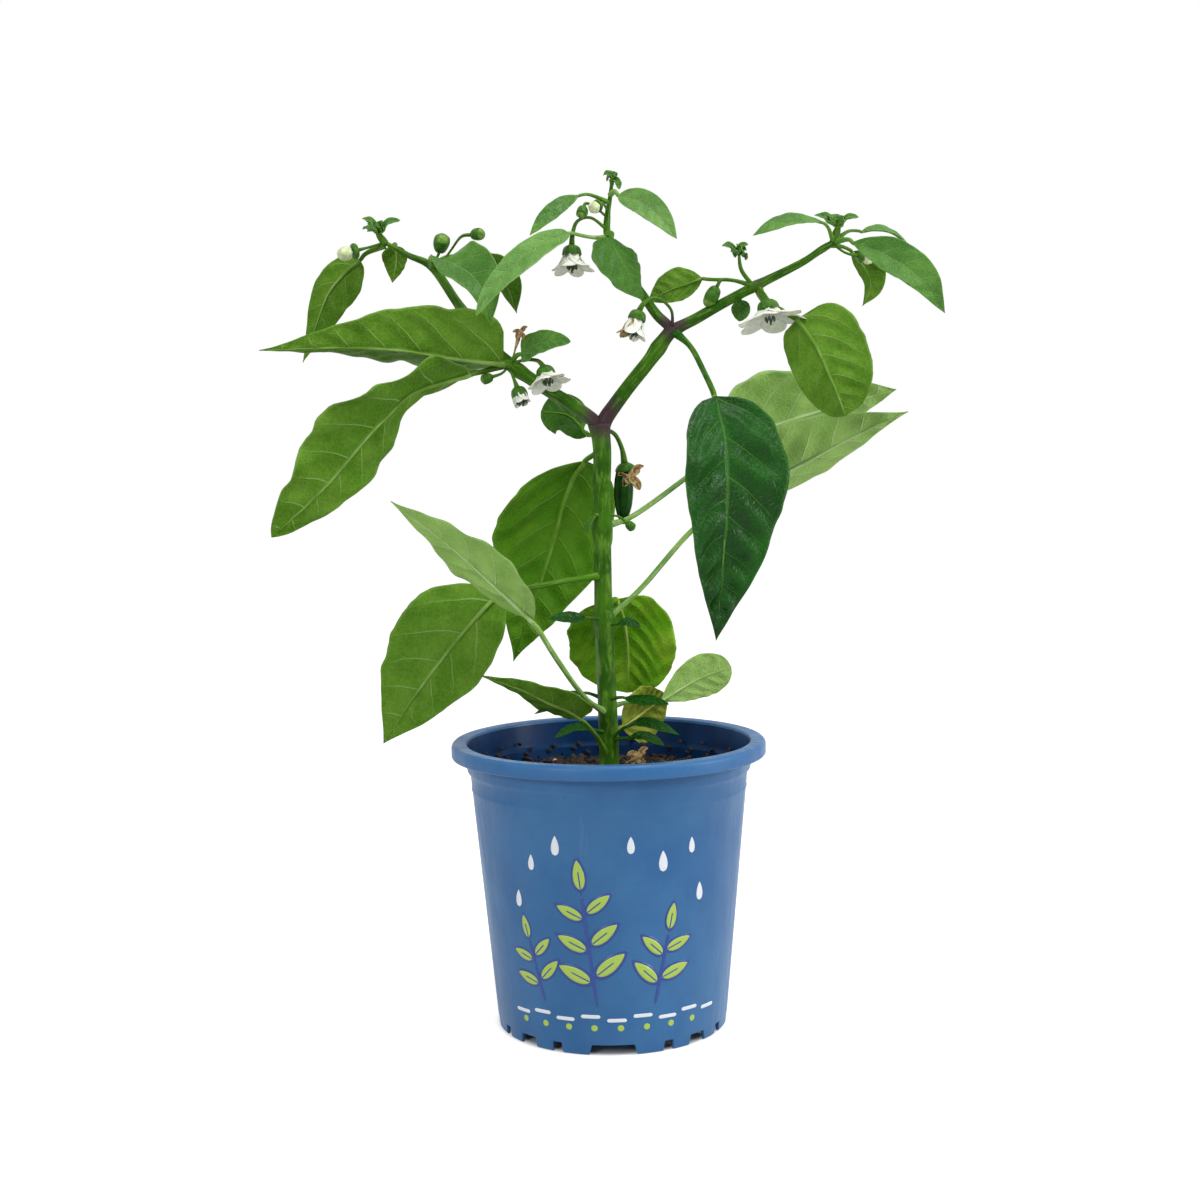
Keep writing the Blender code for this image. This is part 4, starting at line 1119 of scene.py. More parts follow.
class Wardrobe:
    """The plant's materials, each built once."""

    def __init__(self, tints: tuple[NodeTint, ...]) -> None:
        """Build the materials that every plant has; leaf tones are built when first asked for."""
        self._leaf: dict[LeafTone, tuple[bpy.types.Material, bpy.types.Material]] = {}
        self._ribs: dict[LeafTone, tuple[bpy.types.Material, bpy.types.Material]] = {}
        self.stem = StemFinish("ribbed_green_stem", "#3f7010", "#265304", "#709838", tints).material()
        self.stalk = StemFinish("tender_green_stalk", "#4f7c1e", "#376410", "#749a40", tints[:2]).material()
        self.cup = FleshFinish("green_flower_cup", "#46761e", "#2c5a10", 0.45, 1.6, 0.12, 0.15, 0.15).material()
        self.bud_skin = FleshFinish("pale_bud_skin", "#dfe4c4", "#b3c486", 0.5, 1.5, 0.08, 0.2).material()
        self.tight_bud = FleshFinish("tight_green_bud", "#7f9f4a", "#557c26", 0.5, 1.5, 0.08, 0.15, 0.2).material()
        self.petal = FleshFinish("white_petal", "#f0f1e6", "#d9dec6", 0.55, 1.4, 0.08, 0.3).material()
        self.anther = FleshFinish("slate_anther", "#5a5f52", "#34382f", 0.7, 0.8, 0.1).material()
        self.withered = FleshFinish("withered_tan_petal", "#c7ad7a", "#7f6238", 0.8, 1.2, 0.2, 0.1).material()
        self.pod = FleshFinish("glossy_green_pod", "#174c06", "#0b3602", 0.36, 5.0, 0.04, gloss=0.12).material()

    def leaf_sides(self, tone: LeafTone) -> tuple[bpy.types.Material, bpy.types.Material]:
        """Return the upper and lower materials of a leaf tone."""
        if tone not in self._leaf:
            finish = LEAF_FINISHES[tone]
            self._leaf[tone] = (finish.side(True), finish.side(False))
        return self._leaf[tone]

    def ribs(self, tone: LeafTone) -> tuple[bpy.types.Material, bpy.types.Material]:
        """Return the materials of a leaf tone's stalk and of its midrib."""
        if tone not in self._ribs:
            tint = LEAF_FINISHES[tone]
            stalk = StemFinish(f"{tint.name}_leaf_stalk", tint.lower_shade, tint.upper, tint.lower_vein, (), 0.5)
            midrib = StemFinish(f"{tint.name}_leaf_midrib", tint.lower_vein, tint.lower, tint.upper_vein, (), 0.5)
            self._ribs[tone] = (stalk.material(), midrib.material())
        return self._ribs[tone]


# ---------------------------------------------------------------------------------------------
# Pot, print and soil
# ---------------------------------------------------------------------------------------------

@dataclass
class NurseryPot:
    """A moulded nursery pot with a turned-down rim, a step below it and a notched foot, in mm."""
    rim_radius: float = 65.0
    height: float = 118.0
    mouth_radius: float = 58.6
    neck_radius: float = 57.4
    foot_radius: float = 47.6
    wall: float = 1.0
    neck_height: float = 105.5
    lip_drop: float = 5.7
    recess: float = 6.0
    base: float = 1.4
    ring_height: float = 99.0
    sides: int = 160
    notch_height: float = 4.2
    notches: tuple[tuple[float, float, float], ...] = ((0, 9.8, 8.4), (27.5, 2.4, 1.9), (45, 4.6, 3.8), (62.5, 2.4, 1.9))
    drain_radius: float = 3.5
    drain_circle: float = 36.0
    drains: int = 8

    def wall_radius(self, height: float) -> float:
        """Return the outer wall's radius at a height below the neck."""
        return self.foot_radius + (self.neck_radius - self.foot_radius) * height / self.neck_height

    def inner_radius(self, height: float) -> float:
        """Return the inner wall's radius at a height above the base."""
        return self.wall_radius(height) - self.wall

    def profile(self) -> list[tuple[float, float]]:
        """Return the pot's section, from the middle of its underside round to the middle inside."""
        floor_top = self.recess + self.base
        lip = self.height - self.lip_drop
        neck, mouth, rim = self.neck_radius, self.mouth_radius, self.rim_radius
        ring = self.ring_height
        return [(0, self.recess), (12, self.recess), (30, self.recess), (self.foot_radius - 1.7, self.recess),
                (self.foot_radius - 1.4, self.recess - 0.4), (self.foot_radius - 1.3, 0.3), (self.foot_radius - 1.0, 0),
                (self.foot_radius - 0.4, 0), (self.foot_radius, 0.4), (self.wall_radius(5), 5),
                *((self.wall_radius(h), h) for h in (20, 40, 60, 80)), (self.wall_radius(ring - 1.0), ring - 1.0),
                (self.wall_radius(ring) + 0.22, ring - 0.4), (self.wall_radius(ring) + 0.22, ring + 0.4),
                (self.wall_radius(ring + 1.0), ring + 1.0), (neck - 0.1, self.neck_height - 1.0),
                (neck + 0.3, self.neck_height), (mouth - 0.1, self.neck_height + 0.9), (mouth + 0.1, self.neck_height + 1.6),
                (mouth + 0.8, self.height - 3.4), (mouth + 1.3, self.height - 2.5), (rim - 2.0, self.height - 2.3),
                (rim - 1.4, self.height - 2.7), (rim - 1.2, lip + 0.3), (rim - 0.9, lip), (rim - 0.3, lip), (rim, lip + 0.4),
                (rim, self.height - 1.6), (rim - 0.3, self.height - 0.7), (rim - 1.1, self.height),
                (mouth + 1.2, self.height), (mouth + 0.4, self.height - 0.3), (mouth, self.height - 1.2),
                (mouth - 0.7, self.neck_height + 2.4), (mouth - 1.1, self.neck_height + 1.3),
                (neck - 1.0, self.neck_height + 0.2), (neck - 1.15, self.neck_height - 1.2),
                *((self.inner_radius(h), h) for h in (80, 50, 20, floor_top + 1.2)),
                (self.inner_radius(floor_top) - 1.0, floor_top), (30, floor_top), (12, floor_top), (0, floor_top)]

    def turned_body(self) -> bpy.types.Object:
        """Turn the section about Z into the closed body."""
        section = self.profile()
        last = len(section) - 1
        blank = flat_blank("pot_moulded", last, self.sides)

        def place(u: float, v: float) -> Vector:
            """Return the point at u along the section and v round the pot."""
            radius, height = section[round(u * last)]
            return Vector((radius * sin(2 * pi * v), -radius * cos(2 * pi * v), height))

        shape_blank(blank, place)
        close_blank(blank)
        return blank

    def openings(self) -> bpy.types.Object:
        """Build one tool that holds every notch and drain hole."""
        tools = []
        for quarter in range(4):
            for turn, half_low, half_high in self.notches:
                angle = radians(quarter * 90 + turn)
                bpy.ops.object.select_all(action="DESELECT")
                bpy.ops.mesh.primitive_cube_add(size=1.0)
                tool = bpy.context.object
                for vertex in tool.data.vertices:
                    high = vertex.co.z > 0
                    out = self.foot_radius + (3.0 if vertex.co.x > 0 else -4.0)
                    aside = (half_high if high else half_low) * (1 if vertex.co.y > 0 else -1)
                    spot = Matrix.Rotation(angle, 3, "Z") @ Vector((out, aside, self.notch_height if high else -1.0))
                    vertex.co = spot * MM
                tools.append(tool)
        for hole in range(self.drains):
            angle = 2 * pi * (hole + 0.5) / self.drains
            bpy.ops.object.select_all(action="DESELECT")
            bpy.ops.mesh.primitive_cylinder_add(
                vertices=24, radius=self.drain_radius * MM, depth=(self.base + 2.0) * MM,
                location=(self.drain_circle * cos(angle) * MM, self.drain_circle * sin(angle) * MM,
                          (self.recess + self.base / 2) * MM))
            bpy.ops.object.transform_apply(location=True)
            tools.append(bpy.context.object)
        return join("pot_openings", tools)

    def build(self, plastic: bpy.types.Material, painted_shade_plastic: bpy.types.Material) -> None:
        """Build the pot, open its foot and drains, soften its edges and hand it over. Its inner wall takes a darker
        copy of the blue, which is painted shade inside the pot.

        Args:
            plastic: the finish of the outside and the rim.
            painted_shade_plastic: the darker finish of the inner wall.
        """
        body = self.turned_body()
        tool = self.openings()
        apply_modifier(body, "BOOLEAN", operation="DIFFERENCE", object=tool, solver="EXACT")
        bpy.data.objects.remove(tool, do_unlink=True)
        apply_modifier(body, "BEVEL", width=0.25 * MM, segments=2, limit_method="ANGLE", angle_limit=radians(50))
        select_only(body)
        bpy.ops.object.shade_smooth_by_angle(angle=radians(32))
        body.data.materials.clear()
        body.data.materials.append(plastic)
        body.data.materials.append(painted_shade_plastic)
        # Faces on the inside of the wall take the darker finish: painted shade inside the pot.
        for face in body.data.polygons:
            outwards = Vector((face.center.x, face.center.y, 0)).dot(face.normal) > 0
            inside = (self.recess + 1) * MM < face.center.z < (self.height - 4.0) * MM
            face.material_index = 1 if inside and not outwards and face.center.xy.length > 0.04 else 0
        hand_over(body, "pot_plastic", "pot")


class PrintShape(Enum):
    """Outlines that the print on the pot is made of."""
    LEAFLET = "leaflet"
    DROP = "drop"
    DISC = "disc"
    STROKE = "stroke"


@dataclass(frozen=True)
class PrintMark:
    """One printed mark: its outline, where its foot is round the wall and up it, and its size in mm."""
    shape: PrintShape
    ink: str
    arc: float
    height: float
    turn: float
    length: float
    width: float
    layer: int = 1
    bend: float = 0.0

    def half_width(self, u: float) -> float:
        """Return half the mark's width at u along it."""
        half = self.width / 2
        if self.shape is PrintShape.LEAFLET:
            return half * 2.06 * u ** 0.6 * (1 - u) ** 0.85
        if self.shape is PrintShape.DROP:
            return half * 1.32 * sqrt(max(u, 0.0)) * (1 - u) ** 0.9 * 1.3
        if self.shape is PrintShape.DISC:
            return half * sqrt(max(0.0, 1 - (2 * u - 1) ** 2))
        return half * min(1.0, 12 * u, 12 * (1 - u)) ** 0.5


@dataclass
class PotPrint:
    """A plain garden print on the front of the pot: leafy sprigs, raindrops and a furrow line."""
    pot: NurseryPot
    marks: list[PrintMark] = field(default_factory=list)

    def sprig(self, arc: float, foot: float, lean: float, pairs: int, size: float) -> None:
        """Lay out one sprig: a stroke with paired leaflets and one at its tip, each with an outline."""
        length = size * (pairs + 0.6)
        self.marks.append(PrintMark(PrintShape.STROKE, "outline", arc, foot, lean, length, 1.3, 2))
        for k in range(pairs):
            reach = size * (k + 0.75)
            at_arc = arc + reach * sin(radians(lean))
            at_height = foot + reach * cos(radians(lean))
            leaf_size = size * (1.35 - 0.13 * k)
            for sign in (-1, 1):
                self.leaflet(at_arc, at_height + 0.18 * size * (sign > 0), lean + sign * 58, leaf_size)
        self.leaflet(arc + length * sin(radians(lean)), foot + length * cos(radians(lean)), lean, size * 1.15)

    def leaflet(self, arc: float, height: float, turn: float, size: float) -> None:
        """Lay out one leaflet with its dark outline and its vein."""
        self.marks.append(PrintMark(PrintShape.LEAFLET, "outline", arc, height, turn, size, size * 0.55, 1))
        step = 0.09 * size
        inner_arc = arc + step * sin(radians(turn))
        inner_height = height + step * cos(radians(turn))
        self.marks.append(PrintMark(PrintShape.LEAFLET, "lime", inner_arc, inner_height, turn, size * 0.8,
                                    size * 0.40, 2))
        self.marks.append(PrintMark(PrintShape.STROKE, "outline", inner_arc, inner_height, turn, size * 0.5, 0.5, 3))

    def lay_out(self) -> None:
        """Place every mark on the wall."""
        self.sprig(-6.0, 20.0, -7.0, 3, 13.0)
        self.sprig(17.0, 20.0, 12.0, 2, 11.5)
        self.sprig(-28.0, 20.0, -16.0, 2, 10.0)
        for arc, height, size in ((-33.0, 74.0, 6.5), (-22.0, 81.0, 8.0), (8.0, 82.0, 7.0), (21.0, 74.0, 8.5),
                                  (34.0, 80.0, 6.5), (38.0, 60.0, 7.5), (-40.0, 58.0, 7.0)):
            self.marks.append(PrintMark(PrintShape.DROP, "white", arc, height, 0.0, size, size * 0.62, 1))
        for k in range(9):
            self.marks.append(PrintMark(PrintShape.STROKE, "white", -44.0 + 10.4 * k, 14.5 + 1.5 * (k % 2), 90.0, 8.0, 1.5,
                                        1))
        for k in range(8):
            self.marks.append(PrintMark(PrintShape.DISC, "lime", -38.5 + 10.4 * k, 10.0, 0.0, 2.6, 2.6, 1))

    def on_wall(self, arc: float, height: float, lift: float) -> Vector:
        """Return the wall's point an arc to the right of the front and at a height."""
        radius = self.pot.wall_radius(height)
        angle = arc / radius
        return Vector(((radius + lift) * sin(angle), -(radius + lift) * cos(angle), height))

    def build(self, inks: dict[str, bpy.types.Material]) -> None:
        """Build the marks, join those of one ink and hand them over."""
        self.lay_out()
        by_ink: dict[str, list[bpy.types.Object]] = {}
        for number, mark in enumerate(self.marks):
            blank = flat_blank(f"mark_{number}", 16, 6)
            turn = radians(mark.turn)

            def place(u: float, v: float, mark: PrintMark = mark, turn: float = turn) -> Vector:
                """Return the mark's point on the wall."""
                reach, aside = u * mark.length, (2 * v - 1) * mark.half_width(u)
                return self.on_wall(mark.arc + reach * sin(turn) + aside * cos(turn),
                                    mark.height + reach * cos(turn) - aside * sin(turn), 0.03 + 0.035 * mark.layer)

            shape_blank(blank, place)
            by_ink.setdefault(mark.ink, []).append(blank)
        for ink, blanks in by_ink.items():
            made = join(f"pot_print_{ink}", blanks)
            select_only(made)
            bpy.ops.object.mode_set(mode="EDIT")
            bpy.ops.mesh.select_all(action="SELECT")
            bpy.ops.mesh.remove_doubles(threshold=1e-6)
            bpy.ops.object.mode_set(mode="OBJECT")
            outward = sum(p.normal.dot(Vector((p.center.x, p.center.y, 0)).normalized()) for p in made.data.polygons)
            if outward < 0:
                bpy.ops.object.mode_set(mode="EDIT")
                bpy.ops.mesh.select_all(action="SELECT")
                bpy.ops.mesh.flip_normals()
                bpy.ops.object.mode_set(mode="OBJECT")
            apply_modifier(made, "SOLIDIFY", thickness=0.03 * MM, offset=-1.0)
            made.data.shade_smooth()
            made.data.materials.append(inks[ink])
            hand_over(made, "pot_plastic")


@dataclass
class PottingSoil:
    """Peat soil with bark, fibres and perlite, mounded to the stem, in mm."""
    pot: NurseryPot
    edge: float = 100.5
    crown: float = 104.0
    gap: float = 0.3
    rings: int = 90
    around: int = 200

    def surface(self, radius: float, angle: float) -> float:
        """Return the height of the crumbly surface."""
        full = self.pot.inner_radius(self.edge)
        share = radius / full
        spot = Vector((radius * cos(angle), radius * sin(angle), 0.0))
        mound = self.crown - (self.crown - self.edge) * share ** 1.6
        lumps = 1.3 * grit(spot, 11.0, 3.0) + 0.9 * grit(spot, 4.2, 7.0) + 0.5 * grit(spot, 1.9, 11.0)
        return mound - 0.4 + lumps

    def body(self) -> bpy.types.Object:
        """Build the closed body of soil that fills the pot."""
        floor_top = self.pot.recess + self.pot.base + self.gap
        blank = flat_blank("soil_grown", self.rings + 6, self.around)
        rings, total = self.rings, self.rings + 6
        full = self.pot.inner_radius(self.edge) - self.gap

        def place(u: float, v: float) -> Vector:
            """Return the point at u from the crown out and down, and v round."""
            step = round(u * total)
            angle = 2 * pi * v
            if step <= rings:
                radius = full * step / rings
                return Vector((radius * cos(angle), radius * sin(angle), self.surface(radius, angle)
                               if step else self.surface(0.0, 0.0)))
            down = (step - rings) / (total - rings - 1)
            if down <= 1:
                height = self.edge - 1.5 + (floor_top - self.edge + 1.5) * down
                radius = self.pot.inner_radius(height) - self.gap
                return Vector((radius * cos(angle), radius * sin(angle), height))
            return Vector((0, 0, floor_top))

        shape_blank(blank, place)
        close_blank(blank)
        return blank

    def chips(self, name: str, count: int, size: Point, seed: float, outer: float = 0.97,
              climb: float = 0.0) -> bpy.types.Object:
        """Scatter rough chips on the surface, modelled once and copied.

        Args:
            name: the new object's name.
            count: how many chips.
            size: a chip's mean length, width and thickness in millimetres.
            seed: varies their places.
            outer: how far out they reach, as a share of the surface.
            climb: if given, they stick to the pot's wall, up to this high above the soil's edge.

        Returns:
            The chips as one object.
        """
        bpy.ops.object.select_all(action="DESELECT")
        bpy.ops.mesh.primitive_ico_sphere_add(subdivisions=1, radius=1.0)
        first = bpy.context.object
        rough = [v.co * (1 + 0.35 * noise.noise(v.co * 2 + Vector((seed, 0, 0)))) for v in first.data.vertices]
        full = self.pot.inner_radius(self.edge)
        parts = []
        for k in range(count):
            reach = full * outer * sqrt(((k + 0.5) * 0.754877 + seed) % 1.0)
            angle = 2 * pi * (((k + 0.5) * 0.569840 + seed * 0.7) % 1.0)
            if reach < 6.0:
                continue
            chip = first.copy()
            chip.data = first.data.copy()
            bpy.context.scene.collection.objects.link(chip)
            scale = 0.55 + 1.0 * ((k * 0.618034 + seed) % 1.0)
            turn = (Matrix.Rotation(angle * 3.1, 3, "Z") @ Matrix.Rotation(0.9 * sin(k * 2.3), 3, "X")
                    @ Matrix.Rotation(0.8 * sin(k * 1.7 + 1), 3, "Y"))
            height = self.surface(reach, angle) + 0.25 * size[2] * scale
            if climb:
                height = self.edge + climb * ((k * 0.381966) % 1.0) ** 2
                reach = self.pot.inner_radius(height) - 0.3 * size[2]
            centre = Vector((reach * cos(angle), reach * sin(angle), height))
            for vertex, co in zip(chip.data.vertices, rough):
                shaped = Vector((co.x * size[0], co.y * size[1], co.z * size[2])) * 0.5 * scale
                vertex.co = (centre + turn @ shaped) * MM
            parts.append(chip)
        bpy.data.objects.remove(first, do_unlink=True)
        return join(name, parts)

    def fibres(self, count: int) -> bpy.types.Object:
        """Lay coarse peat fibres and root threads over the surface."""
        parts = []
        full = self.pot.inner_radius(self.edge)
        for k in range(count):
            reach = full * 0.9 * sqrt((k * 0.754877 + 0.2) % 1.0)
            angle = 2 * pi * ((k * 0.569840 + 0.4) % 1.0)
            heading = angle + 2.4 * sin(k * 1.3)
            points = []
            for step in range(4):
                x = reach * cos(angle) + step * 1.9 * cos(heading + 0.25 * step * sin(k))
                y = reach * sin(angle) + step * 1.9 * sin(heading + 0.25 * step * sin(k))
                r = min(sqrt(x * x + y * y), full - 1.5)
                a = atan2(y, x)
                points.append((r * cos(a), r * sin(a), self.surface(r, a) + 0.5 + 0.5 * sin(step + k)))
            parts.append(thread(f"fibre_{k}", points, (0.1, 0.22, 0.18, 0.08), 5))
        return join("soil_fibres", parts)

    def build(self) -> None:
        """Build the soil and what lies on it."""
        body = self.body()
        body.data.materials.append(SoilFinish("moist_peat_soil", "#140d09", "#3d2c20").material())
        hand_over(body, "potting_soil", "soil")
        bark = self.chips("soil_bark", 420, (5.2, 3.0, 1.5), 0.13)
        bark.data.materials.append(SoilFinish("composted_bark", "#24150d", "#5a3c28", 0.85).material())
        hand_over(bark, "potting_soil")
        crumbs = self.chips("soil_crumbs", 700, (2.4, 2.1, 1.8), 0.57, 0.99)
        crumbs.data.materials.append(SoilFinish("peat_crumbs", "#1a110b", "#46332a").material())
        hand_over(crumbs, "potting_soil")
        stuck = self.chips("soil_on_wall", 170, (2.2, 1.7, 1.2), 0.53, climb=9.0)
        stuck.data.materials.append(SoilFinish("dried_peat", "#1d120c", "#57402c", 0.9).material())
        hand_over(stuck, "potting_soil")
        perlite = self.chips("soil_perlite", 26, (2.3, 2.0, 1.7), 0.31, 0.9)
        perlite.data.materials.append(FleshFinish("expanded_perlite", "#d8d6cc", "#a9a698", 0.9, 0.7, 0.3).material())
        hand_over(perlite, "potting_soil")
        threads = self.fibres(70)
        threads.data.materials.append(SoilFinish("peat_fibre", "#3a2616", "#7a5a3c", 0.8).material())
        hand_over(threads, "potting_soil")


# ---------------------------------------------------------------------------------------------
# The plant, in millimetres
# ---------------------------------------------------------------------------------------------

STEMS = (
    Stem("main_stem", ((0, 0, 78), (0, 0, 96.5), (0, 0, 117.5), (-0.5, 0, 142.5), (-1, 0, 167.5), (-1, 0, 188),
         (-1, 0, 217), (-0.5, 0, 236.5), (-1.5, 0, 248)), (4.0, 4.2, 4.1, 3.9, 3.8, 3.7, 3.7, 3.8, 3.9),
         joints=(89.5, 128.0, 170.0)),
    Stem("left_branch", ((-0.8, 0, 241), (-2.5, 0, 248), (-12.5, -1, 256), (-23.5, -2, 263), (-37.5, -3, 273),
         (-49.5, -3, 284.5), (-58.5, -1, 298), (-68.5, 2, 312.5), (-78, 3, 317.5), (-88, 3, 323)), (2.6, 2.9,
         2.8, 2.7, 2.6, 2.2, 1.9, 1.7, 1.2, 0.9), joints=(2.0, 46.0, 78.0)),
    Stem("right_branch", ((-1.2, 0, 241), (0.5, 0, 249), (6, -1, 257), (11, -2, 263.5), (18.5, -3, 272.5),
         (25.5, -3, 282), (29, -3, 286)), (2.8, 3.2, 3.0, 2.9, 2.8, 2.8, 2.8), joints=(3.0, 45.0)),
    Stem("middle_branch", ((28.5, -3, 283), (27, -3, 287), (22.5, -2, 291.5), (17, -1, 299.5), (8, 0, 313), (3,
         0, 323.5), (3, 0, 332), (4, 0, 338), (5, 0, 345)), (2.0, 2.1, 2.0, 1.8, 1.5, 1.3, 1.1, 0.9, 0.7),
         joints=(48.0, 54.0)),
    Stem("far_branch", ((28.5, -3, 282.5), (30, -3, 285.5), (38, -3, 289.5), (48, -2, 295), (63.5, 0, 303), (81,
         1, 311.5), (89, 0, 316.5), (96, 0, 320.5)), (2.1, 2.4, 2.3, 2.1, 1.9, 1.5, 1.3, 1.1), joints=(2.0,
         40.0, 72.0)),
)

JOINT_TINTS = (
    NodeTint((-0.5, -2, 250.5), 15.0, 0.95),
    NodeTint((28.5, -4, 286.5), 11.0, 0.9),
    NodeTint((63, 0, 303), 6.5, 0.6),
)

